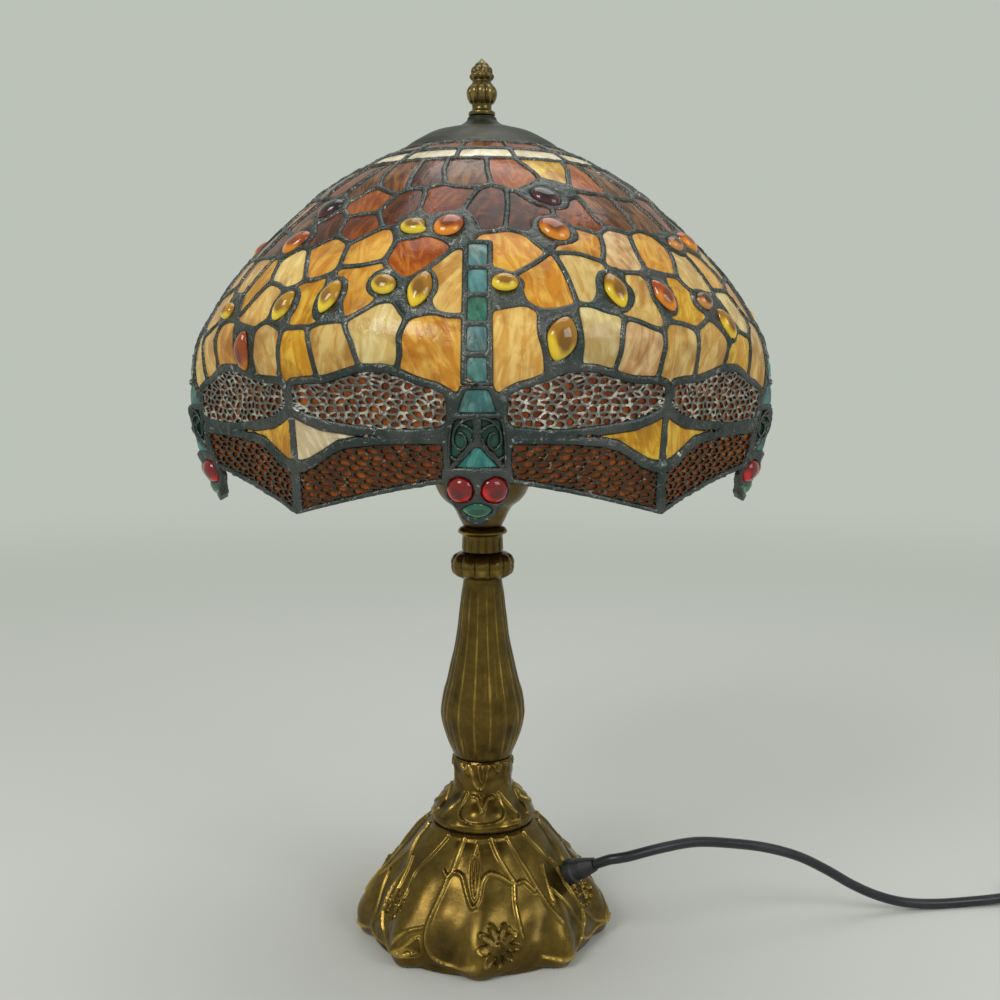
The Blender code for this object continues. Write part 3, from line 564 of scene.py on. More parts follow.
# share of the way from body to seam, height
UPPER_WING = [(1.0, 302.0), (0.98, 305.6), (0.9, 306.6), (0.78, 307.0), (0.68, 309.4), (0.57, 312.0),
              (0.45, 312.0), (0.37, 309.8), (0.28, 306.2), (0.19, 304.2), (0.125, 301.0),
              (0.12, 288.2), (0.17, 284.6), (0.33, 283.4), (0.49, 283.4), (0.66, 284.9), (0.81, 286.6),
              (0.93, 289.8), (1.0, 293.4)]
SPANDREL = [(1.0, 291.6), (0.93, 288.4), (0.83, 285.2), (0.66, 283.6), (0.5, 282.4), (0.62, 280.6),
            (0.74, 278.6), (0.84, 273.6), (0.92, 269.8), (1.0, 268.6)]
LOWER_WING_TOP = [(1.0, 266.4), (0.95, 267.0), (0.89, 269.2), (0.83, 273.0), (0.75, 277.0),
                  (0.66, 279.0), (0.49, 280.6), (0.27, 281.4), (0.13, 281.6)]

# sideways distance from a dragonfly's middle, height
TAIL = [(364.0, 352.6, "blue"), (352.6, 340.8, "sea"), (340.8, 328.6, "green"), (328.6, 316.4, "blue"),
        (316.4, 304.0, "sea")]
TAIL_HALF = 5.2
CHEST = [(-5.4, 303.6), (5.4, 303.6), (9.8, 291.4), (-9.8, 291.4)]
SHOULDER = [(-9.8, 291.4), (0.0, 291.4), (0.0, 281.2), (-11.8, 268.6), (-12.4, 284.0)]
BELLY = [(0.0, 281.2), (11.8, 268.6), (-11.8, 268.6)]
HEAD = [(-12.6, 268.6), (12.6, 268.6), (13.4, 262.0), (13.2, 258.0), (9.0, 253.0), (5.0, 248.0),
        (1.2, 245.3), (-1.2, 245.3), (-5.0, 248.0), (-9.0, 253.0), (-13.2, 258.0), (-13.4, 262.0)]
EYE = (6.7, 260.6, 5.8, 5.8)                 # sideways, height, half width, half height
CHIN = (0.0, 251.8, 6.0, 3.6)


def foot_height(share):
    """Height of the shade's foot part of the way from a dragonfly to a seam."""
    return FOOT_BODY + (FOOT_SEAM - FOOT_BODY) * np.asarray(share, float) ** 1.3


# ---------------------------------------------------------------- planar pattern to regions

def clip_half(polygon, normal, limit):
    """Part of a convex polygon where the point times normal is at most limit."""
    side = polygon @ normal - limit
    out = []
    for here in range(len(polygon)):
        after = (here + 1) % len(polygon)
        if side[here] <= 0:
            out.append(polygon[here])
        if (side[here] <= 0) != (side[after] <= 0):
            share = side[here] / (side[here] - side[after])
            out.append(polygon[here] + share * (polygon[after] - polygon[here]))
    return np.array(out)


def power_cells(seeds, weights, box, reach):
    """Convex cells of a power diagram inside a box."""
    corners = np.array([(box[0], box[1]), (box[2], box[1]), (box[2], box[3]), (box[0], box[3])])
    cells = []
    for index, seed in enumerate(seeds):
        polygon = corners.copy()
        offset = seeds - seed
        near = np.hypot(*offset.T)
        for other in np.argsort(near)[1:]:
            if near[other] > reach or len(polygon) < 3:
                break
            limit = (near[other] ** 2 + weights[index] - weights[other]) / 2 + seed @ offset[other]
            polygon = clip_half(polygon, offset[other], limit)
        cells.append(polygon)
    return cells


def arrange(polygons):
    """Cut overlapping polygons into one planar map. Each polygon is (points, region, rank).

    Returns the map's points and, for each region, its triangles."""
    points = []
    faces = []
    for outline, _, _ in polygons:
        faces.append(list(range(len(points), len(points) + len(outline))))
        points.extend(Vector(p) for p in outline)
    found = delaunay_2d_cdt(points, [], faces, 1, 1e-6, True)
    triangles = {}
    for triangle, owners in zip(found[2], found[5]):
        if owners:
            best = max(owners, key=lambda k: polygons[k][2])
            triangles.setdefault(polygons[best][1], []).append(tuple(triangle))
    return np.array([tuple(p) for p in found[0]]), triangles


def loops_of(triangles):
    """Boundary loops of a set of triangles, each a list of point numbers."""
    edges = {}
    seen = set()
    for triangle in triangles:
        for k in range(3):
            seen.add((triangle[k], triangle[(k + 1) % 3]))
    for a, b in seen:
        if (b, a) not in seen:
            edges.setdefault(a, []).append(b)
    loops = []
    while edges:
        start = next(iter(edges))
        loop = [start]
        here = start
        while True:
            after = edges[here].pop()
            if not edges[here]:
                del edges[here]
            if after == start:
                break
            loop.append(after)
            here = after
            if here not in edges:
                break
        if len(loop) > 2:
            loops.append(loop)
    return loops


def area_of(loop):
    """Area inside a loop, negative where it runs clockwise."""
    after = np.roll(loop, -1, 0)
    return float((loop[:, 0] * after[:, 1] - after[:, 0] * loop[:, 1]).sum() / 2)


def subdivide(loop, step, origin):
    """Points added along a loop in the conformal plane, at most step mm apart; both sides of an
    edge get the same points."""
    out = []
    for here, after in zip(loop, np.roll(loop, -1, 0)):
        forwards = tuple(here) <= tuple(after)
        low, high = (here, after) if forwards else (after, here)
        flat = flatten(*from_plane(np.array([low, high])), origin)
        count = max(1, math.ceil(np.linalg.norm(flat[1] - flat[0]) / step))
        shares = np.arange(count) / count
        shares = shares if forwards else 1 - shares
        out.append(low + shares[:, None] * (high - low))
    return np.concatenate(out)


def inset(loop, width, rounds=8):
    """A loop in mm moved inwards by about width, with its corners rounded."""
    inner = loop.copy()
    edge = np.roll(loop, -1, 0) - loop
    length2 = np.maximum((edge ** 2).sum(1), 1e-9)
    left = np.stack([-edge[:, 1], edge[:, 0]], -1) / np.sqrt(length2)[:, None]
    for turn in range(rounds):
        inner = 0.5 * inner + 0.25 * (np.roll(inner, 1, 0) + np.roll(inner, -1, 0))
        want = width * min(1.0, (turn + 1) / (0.6 * rounds))
        offset = inner[:, None, :] - loop[None, :, :]
        along = np.clip((offset * edge).sum(2) / length2, 0, 1)
        gap = offset - along[..., None] * edge
        far = np.hypot(gap[..., 0], gap[..., 1])
        near = far.argmin(1)
        pick = np.arange(len(inner))
        away = gap[pick, near]
        far = far[pick, near]
        inside = (away * left[near]).sum(1)
        direct = np.where((inside > 0.05)[:, None], away / np.maximum(far, 1e-6)[:, None], left[near])
        push = np.where(inside > 0, want - far, want + far)
        inner = inner + np.where(push > 0, push, 0.0)[:, None] * direct
    return inner


class Net:
    """Collects vertices given by azimuth, arc length and depth, and the faces between them."""

    def __init__(self):
        self.azimuth = []
        self.arc = []
        self.depth = []
        self.faces = []
        self.shared = {}

    def row(self, azimuth, arc, depth):
        """New vertices; returns their numbers."""
        first = len(self.azimuth)
        self.azimuth.extend(np.asarray(azimuth, float))
        self.arc.extend(np.asarray(arc, float))
        self.depth.extend(np.broadcast_to(np.asarray(depth, float), np.shape(azimuth)))
        return list(range(first, len(self.azimuth)))

    def shared_row(self, side, azimuth, arc, depth):
        """Vertices shared by every loop that passes the same place on the same side."""
        out = []
        for az, s, d in zip(azimuth, arc, depth):
            key = (side, round(az % TURN * 1e5) % round(TURN * 1e5), round(s * 1e3))
            if key not in self.shared:
                self.shared[key] = self.row([az], [s], [d])[0]
            out.append(self.shared[key])
        return out

    def band(self, first, second):
        """Quads between two rows of a closed loop, seen from outside with the first row outer."""
        count = len(first)
        for k in range(count):
            after = (k + 1) % count
            self.faces.append((first[k], first[after], second[after], second[k]))

    def fan(self, row, centre):
        for k in range(len(row)):
            self.faces.append((row[k], row[(k + 1) % len(row)], centre))

    def points(self):
        return skin(np.array(self.azimuth), np.array(self.arc), np.array(self.depth))


def crest(azimuth, arc):
    """How far a lead line stands out: lumpy, and heavier round the wings and bodies."""
    points = middle(np.asarray(azimuth, float), np.asarray(arc, float))
    low = smoothstep((318.0 - points[:, 2]) / 16.0)
    lumps = 0.20 * waves(points, 4.6, 11) + 0.12 * waves(points, 2.6, 12)
    return LEAD_CREST + 0.45 * low + lumps * (0.8 + 0.9 * low)


def lead_width(arc):
    """Half the width of a lead line, wider in the skirt."""
    return 1.25 + 0.35 * smoothstep((np.mean(arc) - 150.0) / 14.0)


class Leading(Net):
    """The soldered lead: a closed skin with a hole for each piece of glass."""

    def __init__(self):
        super().__init__()
        self.border = {}

    def edge_rows(self, azimuth, arc):
        front = self.shared_row("front", azimuth, arc, crest(azimuth, arc))
        back = self.shared_row("back", azimuth, arc, -0.9 * crest(azimuth, arc))
        for k in range(len(front)):
            after = (k + 1) % len(front)
            self.border[(front[k], front[after])] = (back[k], back[after])
        return front, back

    def ring(self, loop, inner, origin, edge, bead=0.0):
        """Lead between a loop in the plane and the edge of its glass, in flat millimetres."""
        azimuth, arc = from_plane(loop)
        flat = flatten(azimuth, arc, origin)
        front, back = self.edge_rows(azimuth, arc)
        half_azimuth, half_arc = unflatten(0.45 * flat + 0.55 * inner, origin)
        lumps = 0.16 * waves(middle(half_azimuth, half_arc), 3.0, 21)
        height = 0.35 * edge + 0.65 * crest(half_azimuth, half_arc) + bead + lumps * (1 + bead)
        half = self.row(half_azimuth, half_arc, height)
        rim_azimuth, rim_arc = unflatten(inner, origin)
        rim = self.row(rim_azimuth, rim_arc, edge)
        half_back = self.row(half_azimuth, half_arc, -0.9 * height)
        rim_back = self.row(rim_azimuth, rim_arc, -LEAD_EDGE)
        self.band(front, half)
        self.band(half, rim)
        self.band(rim, rim_back)
        self.band(rim_back, half_back)
        self.band(half_back, back)

    def fill(self, loops, origin):
        """Solid solder over a region with any holes, on both sides."""
        rims = []
        for loop in loops:
            azimuth, arc = from_plane(loop)
            front, back = self.edge_rows(azimuth, arc)
            rims.append((flatten(azimuth, arc, origin), front, back))
        _, inside, triangles = triangulate([r[0] for r in rims], 1.9)
        azimuth, arc = unflatten(inside, origin)
        height = crest(azimuth, arc) + 0.15
        front = sum((r[1] for r in rims), []) + self.row(azimuth, arc, height)
        back = sum((r[2] for r in rims), []) + self.row(azimuth, arc, -0.9 * height)
        for a, b, c in triangles:
            self.faces.append((front[a], front[b], front[c]))
            self.faces.append((back[c], back[b], back[a]))

    def close_edges(self):
        """A wall along every lead edge that has no neighbour, such as the shade's foot."""
        for (a, b), (a_back, b_back) in self.border.items():
            if (b, a) not in self.border:
                self.faces.append((a_back, b_back, b, a))


def inside_loops(points, loops):
    """Even-odd test of points against a set of loops."""
    inside = np.zeros(len(points), bool)
    for loop in loops:
        after = np.roll(loop, -1, 0)
        for a, b in zip(loop, after):
            crosses = (a[1] > points[:, 1]) != (b[1] > points[:, 1])
            if a[1] != b[1]:
                at = a[0] + (points[:, 1] - a[1]) / (b[1] - a[1]) * (b[0] - a[0])
                inside ^= crosses & (points[:, 0] < at)
    return inside


def clear_of(points, loops, gap):
    """Which points lie at least gap from every loop's own points."""
    rim = np.concatenate(loops)
    if not len(points):
        return np.zeros(0, bool)
    far = np.hypot(points[:, None, 0] - rim[None, :, 0], points[:, None, 1] - rim[None, :, 1])
    return far.min(1) > gap


def triangulate(loops, spacing):
    """Triangles over the area inside loops, with extra points about spacing apart.

    Returns all points, the extra points and triangles numbered over loops then extras."""
    rim = np.concatenate(loops)
    low, high = rim.min(0), rim.max(0)
    columns = np.arange(low[0], high[0] + spacing, spacing)
    rows = np.arange(low[1], high[1] + spacing, spacing)
    mesh = np.stack(np.meshgrid(columns, rows), -1).reshape(-1, 2)
    mesh[:, 0] += np.where((np.arange(len(mesh)) // len(columns)) % 2, spacing / 2, 0.0)
    mesh = mesh[inside_loops(mesh, loops)]
    mesh = mesh[clear_of(mesh, loops, 0.7 * spacing)]
    points = np.concatenate([rim, mesh])
    edges = []
    first = 0
    for loop in loops:
        count = len(loop)
        edges += [(first + k, first + (k + 1) % count) for k in range(count)]
        first += count
    found = delaunay_2d_cdt([Vector(p) for p in points], edges, [], 0, 1e-5, True)
    places = [min(owners) if owners else None for owners in found[3]]
    triangles = []
    centres = []
    for triangle in found[2]:
        numbers = [places[k] for k in triangle]
        if None not in numbers:
            triangles.append(numbers)
            centres.append(points[numbers].mean(0))
    keep = inside_loops(np.array(centres), loops)
    return points, mesh, [t for t, inner in zip(triangles, keep) if inner]


class Panes(Net):
    """Closed pieces of glass with their colours."""

    def __init__(self):
        super().__init__()
        self.tone = []
        self.tint = []
        self.flow = []

    def colour(self, count, tones, flows):
        self.tone.extend([tones[0]] * count)
        self.tint.extend([tones[1]] * count)
        self.flow.extend(flows)

    def plate(self, loop, origin, tones, rng, front, back, spacing=6.0):
        """A sheet of glass over a loop in flat mm."""
        _, inside, triangles = triangulate([loop], spacing)
        every = np.concatenate([loop, inside])
        azimuth, arc = unflatten(every, origin)
        top = self.row(azimuth, arc, front)
        under = self.row(azimuth, arc, back)
        flows = streaks(every, rng)
        self.colour(2 * len(every), tones, np.concatenate([flows, flows]))
        for a, b, c in triangles:
            self.faces.append((top[a], top[b], top[c]))
            self.faces.append((under[c], under[b], under[a]))
        self.band(under[:len(loop)], top[:len(loop)])

    def level(self, flat, origin, depth):
        """Vertices at places in flat mm, all at one depth; returns their numbers."""
        return self.row(*unflatten(flat, origin), depth)

    def close(self, rows, heart, under, under_heart):
        """Faces of a piece whose front is rings round a heart and whose back is flat."""
        for first, second in zip(rows, rows[1:]):
            self.band(first, second)
        self.fan(rows[-1], heart)
        self.fan(under[::-1], under_heart)
        self.band(under, rows[0])

    def cushion(self, loop, origin, tones, rng, swell=0.35):
        """A piece of glass with a faintly cushioned face."""
        shares = (1.0, 0.8, 0.45)
        centre = loop.mean(0)
        outer = loop + (loop - centre) / np.linalg.norm(loop - centre, axis=1)[:, None] * 0.5
        places = [centre + (outer - centre) * share for share in shares]
        rows = [self.level(flat, origin, GLASS_FACE + swell * (1 - share ** 2))
                for flat, share in zip(places, shares)]
        heart = self.level(centre[None], origin, GLASS_FACE + swell)[0]
        under = self.level(outer, origin, -GLASS_FACE)
        under_heart = self.level(centre[None], origin, -GLASS_FACE)[0]
        every = np.concatenate(places + [centre[None], outer, centre[None]])
        self.colour(len(every), tones, streaks(every, rng))
        self.close(rows, heart, under, under_heart)

    def jewel(self, loop, centre, origin, tones, rng, height):
        """A polished dome standing out of its lead bezel."""
        shares = (1.0, 0.985, 0.95, 0.88, 0.76, 0.60, 0.42, 0.22)
        foot = 1.35
        reach = np.abs(loop - centre).max(0)
        mark = rng.uniform(-9, 9)            # a swirl of its own
        places = [centre + (loop - centre) * share for share in shares]
        rows = [self.level(flat, origin, foot + height * (1 - share ** 2.3) ** 0.5)
                for flat, share in zip(places, shares)]
        heart = self.level(centre[None], origin, foot + height)[0]
        under = self.level(loop, origin, -LEAD_EDGE)
        under_heart = self.level(centre[None], origin, -LEAD_EDGE - 0.5)[0]
        every = np.concatenate(places + [centre[None], loop, centre[None]])
        self.colour(len(every), tones, np.column_stack([(every - centre) / reach, np.full(len(every), mark)]))
        self.close(rows, heart, under, under_heart)


def streaks(flat, rng):
    """Texture coordinates in mm, turned to the piece's own streak direction."""
    angle = rng.uniform(-0.5, 0.5)
    shift = rng.uniform(-400, 400, 3)
    x = flat[:, 0] * math.cos(angle) - flat[:, 1] * math.sin(angle) + shift[0]
    y = flat[:, 0] * math.sin(angle) + flat[:, 1] * math.cos(angle) + shift[1]
    return np.column_stack([x, y, np.full(len(flat), shift[2])])


def shades_of(pair, rng, spread=0.10):
    """A piece's two tones, a little off the standard ones."""
    gain = 1 + rng.uniform(-spread, spread)
    warm = rng.uniform(-0.05, 0.05)
    out = []
    for colour in pair:
        linear = np.array(srgb(*colour)) * gain * np.array([1 + warm, 1.0, 1 - 2 * warm])
        out.append(tuple(np.clip(linear, 0.0, 0.92)))
    return out


# ---------------------------------------------------------------- the pattern as regions

def jewel_outline(across, along, lean, power, angles):
    """Distance from a jewel's middle to its edge in each direction."""
    turned = angles - lean * DEG
    sideways, upwards = np.abs(np.cos(turned) / across), np.abs(np.sin(turned) / along)
    return (sideways ** power + upwards ** power) ** (-1 / power)


def facts_of(kind, tone, azimuth, arc=0.0, form=None, **more):
    """What a region is: its kind of piece, glass, place and, for a jewel, its form."""
    return {"kind": kind, "tone": tone, "azimuth": azimuth, "arc": arc, "form": form, **more}


def bezel_outline(polygons, region, facts, margin, corners, rank):
    """The lead bezel's outline round a jewel."""
    across, along, lean, power = facts["form"]
    angles = np.linspace(0, TURN, corners, endpoint=False)
    reach = jewel_outline(across + margin, along + margin, lean, power, angles)
    flat = np.stack([reach * np.cos(angles), reach * np.sin(angles) - facts["arc"]], -1)
    polygons.append((to_plane(*unflatten(flat, facts["azimuth"])), region, rank))


def panel_outline(points, middle_azimuth, side):
    """Plane outline of (share, height) points on the panel beside a dragonfly."""
    share, height = np.array(points).T
    azimuth = middle_azimuth + side * chord_azimuth(share, height)
    return to_plane(azimuth, arc_of(height))


def body_outline(points, middle_azimuth):
    """Plane outline of (sideways, height) points on a dragonfly."""
    across, height = np.array(points).T
    arc = arc_of(height)
    return to_plane(middle_azimuth + np.arctan(across / radius_of(arc)), arc)


def rounded(points, times=2):
    """Corner cutting that keeps an outline's size."""
    points = np.array(points, float)
    for _ in range(times):
        after = np.roll(points, -1, 0)
        points = np.stack([0.85 * points + 0.15 * after, 0.15 * points + 0.85 * after], 1).reshape(-1, 2)
    return points


def lower_wing():
    """Outline of a lower wing, whose foot follows the shade's."""
    shares = np.linspace(0.13, 1.0, 14)
    return LOWER_WING_TOP + list(zip(shares, foot_height(shares)))


def skirt_backing():
    """Area of one half panel between the upper wing's shoulders and the foot."""
    shares = np.linspace(0.0, 1.0, 15)
    return [(1.0, 300.0), (0.0, 300.0)] + list(zip(shares, foot_height(shares)))


def below_foot():
    """Area under one half panel, where there is no glass."""
    low = FOOT_SEAM - 9.0
    shares = np.linspace(0.0, 1.0, 15)
    return [(1.0, low), (0.0, low)] + list(zip(shares, foot_height(shares)))


def free_seeds():
    """Seeds of the free pattern once round the dome and a little beyond half a turn each way."""
    right = [(az, arc, tone, form) for az, arc, tone, *form in RIGHT_GLASS + RIGHT_JEWELS]
    left = [(az, arc, tone, form) for az, arc, tone, *form in LEFT_GLASS + LEFT_JEWELS]
    seeds = []
    for panel, shift in ((right, 0), (left, 0), (right, 144), (left, 144), (right, -144)):
        for turn in (-360, 0, 360):
            seeds += [(az + shift + turn, arc, tone, form) for az, arc, tone, form in panel]
    return [s for s in seeds if abs(s[0]) < 204]


def free_pattern(polygons, regions):
    """Power cells of glass and jewels over the dome."""
    seeds = free_seeds()
    azimuths = np.array([s[0] for s in seeds]) * DEG
    arcs = np.array([s[1] for s in seeds], float)
    places = to_plane(azimuths, arcs)
    apart = 13.0                             # usual distance between neighbouring seeds
    weights = []
    for (_, arc, _, form), radius in zip(seeds, radius_of(arcs)):
        size = 0.5 * (form[0] + form[1]) - 3.3 if form else apart / 2
        weights.append(apart * (2 * size - apart) / radius ** 2)
    box = (-212 * DEG, plane_y(236.0), 212 * DEG, plane_y(GLASS_TOP))
    for index, cell in enumerate(power_cells(places, weights, box, 0.8)):
        azimuth, arc, tone, form = seeds[index]
        region = ("free", index)
        regions[region] = facts_of("jewel" if form else "glass", tone, azimuth * DEG, arc, form)
        polygons.append((cell, region, 1))
        if form:
            bezel_outline(polygons, region, regions[region], 1.5, 28, 2)


def ring_rows(polygons, regions):
    """The row of white pieces and the row of brown ones above it."""
    width = TURN / RING_PIECES
    for index in range(-8, 9):
        low = (index - 0.5) * width + 2.4 * DEG
        steps = np.linspace(low, low + width, 9)
        for name, (top, bottom), tone in (("white", WHITE_RING, "white"), ("brown", BROWN_RING, "rust")):
            outline = np.concatenate([to_plane(steps, np.full(9, bottom)),
                                      to_plane(steps[::-1], np.full(9, top))])
            region = (name, index)
            regions[region] = facts_of("glass", tone, low + width / 2)
            polygons.append((outline, region, 2))


def skirt(polygons, regions):
    """Wings, the glass between them and the dragonflies round the foot."""
    for fifth in range(-3, 4):
        centre = fifth * 2 * SPAN
        for side in (-1, 1):
            pearl = (fifth + side) % 3 == 2
            parts = (("below", below_foot(), "nothing", None, 3),
                     ("backing", skirt_backing(), "solder", None, 3),
                     ("upper", UPPER_WING, "wing", "wing", 4),
                     ("lower", lower_wing(), "wing", "wing", 4),
                     ("spandrel", SPANDREL, "glass", "pearl" if pearl else "gold", 4))
            for name, outline, kind, tone, rank in parts:
                region = (name, fifth, side)
                regions[region] = facts_of(kind, tone, centre + side * SPAN / 2, side=side, name=name)
                points = rounded(outline, 1) if name == "upper" else np.array(outline)
                polygons.append((panel_outline(points, centre, side), region, rank))
        dragonfly(polygons, regions, fifth, centre)


def dragonfly(polygons, regions, fifth, centre):
    """Tail, back, head, eyes and chin of one dragonfly."""
    for index, (top, bottom, tone) in enumerate(TAIL):
        outline = [(-TAIL_HALF, bottom), (TAIL_HALF, bottom), (TAIL_HALF, top), (-TAIL_HALF, top)]
        body_region(polygons, regions, outline, ("tail", fifth, index), "glass", tone, centre)
    mirrored = [(-x, z) for x, z in SHOULDER]
    for name, outline, kind, tone in (("chest", CHEST, "glass", "sea"), ("left", SHOULDER, "lace", "moss"),
                                      ("right", mirrored, "lace", "moss"), ("belly", BELLY, "glass", "teal"),
                                      ("head", HEAD, "solder", None)):
        body_region(polygons, regions, outline, (name, fifth), kind, tone, centre)
    for side in (-1, 1):
        face_jewel(polygons, regions, ("eye", fifth, side), "red", centre, (side * EYE[0], *EYE[1:]), 2.0)
    face_jewel(polygons, regions, ("chin", fifth), "chin", centre, CHIN, 1.5)


def body_region(polygons, regions, outline, region, kind, tone, centre):
    regions[region] = facts_of(kind, tone, centre, name=region[0])
    polygons.append((body_outline(outline, centre), region, 6))


def face_jewel(polygons, regions, region, tone, centre, place, power):
    """An eye or the chin: a jewel given by its place on the dragonfly."""
    across, height, half_width, half_height = place
    arc = float(arc_of(height))
    azimuth = centre + math.atan(across / float(radius_of(arc)))
    form = (half_width, half_height, 0, power)
    regions[region] = facts_of("jewel", tone, azimuth, arc, form, name=region[0])
    bezel_outline(polygons, region, regions[region], 0.85, 24, 7)


def counter_clockwise(outline):
    outline = np.asarray(outline, float)
    return outline if area_of(outline) > 0 else outline[::-1]


def shade_regions():
    """Every region of the shade once, with its loops in the plane."""
    polygons = []
    regions = {}
    free_pattern(polygons, regions)
    ring_rows(polygons, regions)
    skirt(polygons, regions)
    polygons = [(counter_clockwise(p), region, rank) for p, region, rank in polygons if len(p) > 2]
    points, triangles = arrange(polygons)
    out = []
    for region, tris in triangles.items():
        facts = regions[region]
        if facts["kind"] != "nothing" and -math.pi - 1e-6 <= facts["azimuth"] < math.pi - 1e-6:
            loops = [points[loop] for loop in loops_of(tris)]
            out.append((region, facts, loops))
    return out


# ---------------------------------------------------------------- filigree

def even_spacing(loop, count):
    """The same loop with count points evenly spaced along it."""
    closed = np.concatenate([loop, loop[:1]])
    at = np.concatenate([[0], np.cumsum(np.hypot(*np.diff(closed, axis=0).T))])
    where = np.linspace(0, at[-1], count, endpoint=False)
    return np.stack([np.interp(where, at, closed[:, k]) for k in (0, 1)], -1)


def pulled_inside(loop, inside, border):
    """The loop with its outer corners moved to the nearest points of the border."""
    moved = loop.copy()
    for index in np.flatnonzero(~inside):
        moved[index] = border[np.hypot(*(border - loop[index]).T).argmin()]
    return moved


def web_cells(outline, pitch, seed, spread=0.42):
    """Small cells over a wing's inside, in mm: pitch is their usual width and height."""
    rng = np.random.default_rng(seed)
    low, high = outline.min(0) - 2 * np.array(pitch), outline.max(0) + 2 * np.array(pitch)
    seeds = []
    for row, y in enumerate(np.arange(low[1], high[1], pitch[1])):
        for x in np.arange(low[0] + (row % 2) * pitch[0] / 2, high[0], pitch[0]):
            jitter = rng.uniform(-spread, spread, 2)
            seeds.append(((x / pitch[0]) + jitter[0], (y / pitch[1]) + jitter[1]))
    seeds = np.array(seeds)
    cells = power_cells(seeds, np.zeros(len(seeds)), (*(low / pitch), *(high / pitch)), 3.2)
    points, triangles = arrange([(counter_clockwise(cell * pitch), k, 1)
                                 for k, cell in enumerate(cells) if len(cell) > 2])
    border = even_spacing(outline, 240)
    found = []
    for tris in triangles.values():
        for loop in loops_of(tris):
            loop = points[loop]
            inside = inside_loops(loop, [border])
            if inside.sum() > 1:
                found.append(pulled_inside(loop, inside, border))
    return found


def web_holes(outline, pitch, web, seed):
    """Hole outlines of a filigree plate, cut off at the wing's outline."""
    cells = [cell for cell in web_cells(outline, pitch, seed) if area_of(cell) >= 2.0]
    holes = [inset(even_spacing(cell, 16), web, 5) for cell in cells]
    return [hole for hole in holes if area_of(hole) > 0.5]


def punched_plate(net, outline, holes, place, front, back, mirrored):
    """A thin plate with holes, raised over the glass; place maps mm to azimuth and arc."""
    loops = [outline] + holes
    points, _, triangles = triangulate(loops, 2.6)
    azimuth, arc = place(points)
    lumps = 0.10 * waves(middle(azimuth, arc), 6.0, 31)
    top = net.row(azimuth, arc, front + lumps)
    under = net.row(azimuth, arc, np.full(len(points), back))
    turn = -1 if mirrored else 1
    for a, b, c in triangles:
        net.faces.append((top[a], top[b], top[c])[::turn])
        net.faces.append((under[c], under[b], under[a])[::turn])
    start = 0
    for loop in loops:
        count = len(loop)
        wall = [side[start:start + count] for side in (under, top)]
        start += count
        hole = loop is not outline
        if (area_of(loop) <= 0) != (hole != mirrored):
            wall = wall[::-1]
        net.band(*wall)


WING_LENGTH = 90.0                           # from a body line to a seam
WEBS = {                                     # cell size, half the web's width, rim, seed
    "upper": ((4.6, 3.0), 0.46, 1.6, 5),
    "lower": ((6.6, 2.5), 0.26, 1.3, 8),
}


def wing_web(name):
    """Outline and holes of one wing's filigree, in mm along the chord and height."""
    points = UPPER_WING if name == "upper" else lower_wing()
    outline = counter_clockwise(np.array(points) * (WING_LENGTH, 1.0))
    if name == "upper":
        outline = rounded(outline, 1)
    pitch, web, rim, seed = WEBS[name]
    inner = inset(even_spacing(outline, 150), rim, 8)
    return inner, web_holes(inner, pitch, web, seed)


def build_filigree(name):
    """The pierced plates of all upper or all lower wings."""
    net = Net()
    outline, holes = wing_web(name)
    for fifth in range(SIDES):
        for side in (-1, 1):
            def place(points, centre=fifth * 2 * SPAN, side=side):
                azimuth = centre + side * chord_azimuth(points[:, 0] / WING_LENGTH, points[:, 1])
                return azimuth, arc_of(points[:, 1])
            punched_plate(net, outline, holes, place, 1.95, 1.05, side < 0)
    return net


# ---------------------------------------------------------------- building the shade

def place_jewel(lead, panes, loop, facts, rng):
    """One jewel and its bezel, which fills the rest of the jewel's loop."""
    origin = facts["azimuth"]
    azimuth, arc = from_plane(loop)
    flat = flatten(azimuth, arc, origin)
    centre = np.array([0.0, -facts["arc"]])
    across, along, lean, power = facts["form"]
    right, up = (flat - centre).T
    angles = np.arctan2(up, right)
    far = np.hypot(right, up)
    reach = np.minimum(jewel_outline(across, along, lean, power, angles), far - 0.7)
    edge = centre + np.stack([np.cos(angles), np.sin(angles)], -1) * reach[:, None]
    lead.ring(loop, edge, origin, BEZEL)
    height = {"red": 4.0, "chin": 1.5}.get(facts["tone"], 3.4)
    panes.jewel(edge, centre, origin, shades_of(JEWELS[facts["tone"]], rng, 0.06), rng, height)


def sector_of(azimuth):
    """Number of the dome panel, between two dragonflies, that holds an azimuth."""
    return int((azimuth % TURN) // (2 * SPAN)) % SIDES + 1


def nearest_body(azimuth):
    """Number of the dragonfly nearest to an azimuth."""
    return int(round((azimuth % TURN) / (2 * SPAN))) % SIDES + 1


def hand_drawn(loop):
    """The free pattern's lines bent a little, and left alone beside tails, wings and rings."""
    azimuth, arc = from_plane(loop)
    points = middle(azimuth, arc)
    off_body = np.abs((azimuth + SPAN) % (2 * SPAN) - SPAN) * radius_of(arc)
    calm = smoothstep((arc - GLASS_TOP - 2.0) / 9.0) * smoothstep((points[:, 2] - 316.0) / 8.0)
    calm *= np.maximum(smoothstep((off_body - 7.0) / 8.0), smoothstep((points[:, 2] - 366.0) / 6.0))
    sideways = 1.3 * calm * waves(points, 24.0, 41)
    upwards = 1.3 * calm * waves(points, 24.0, 42)
    return to_plane(azimuth + sideways / radius_of(arc), arc + upwards)


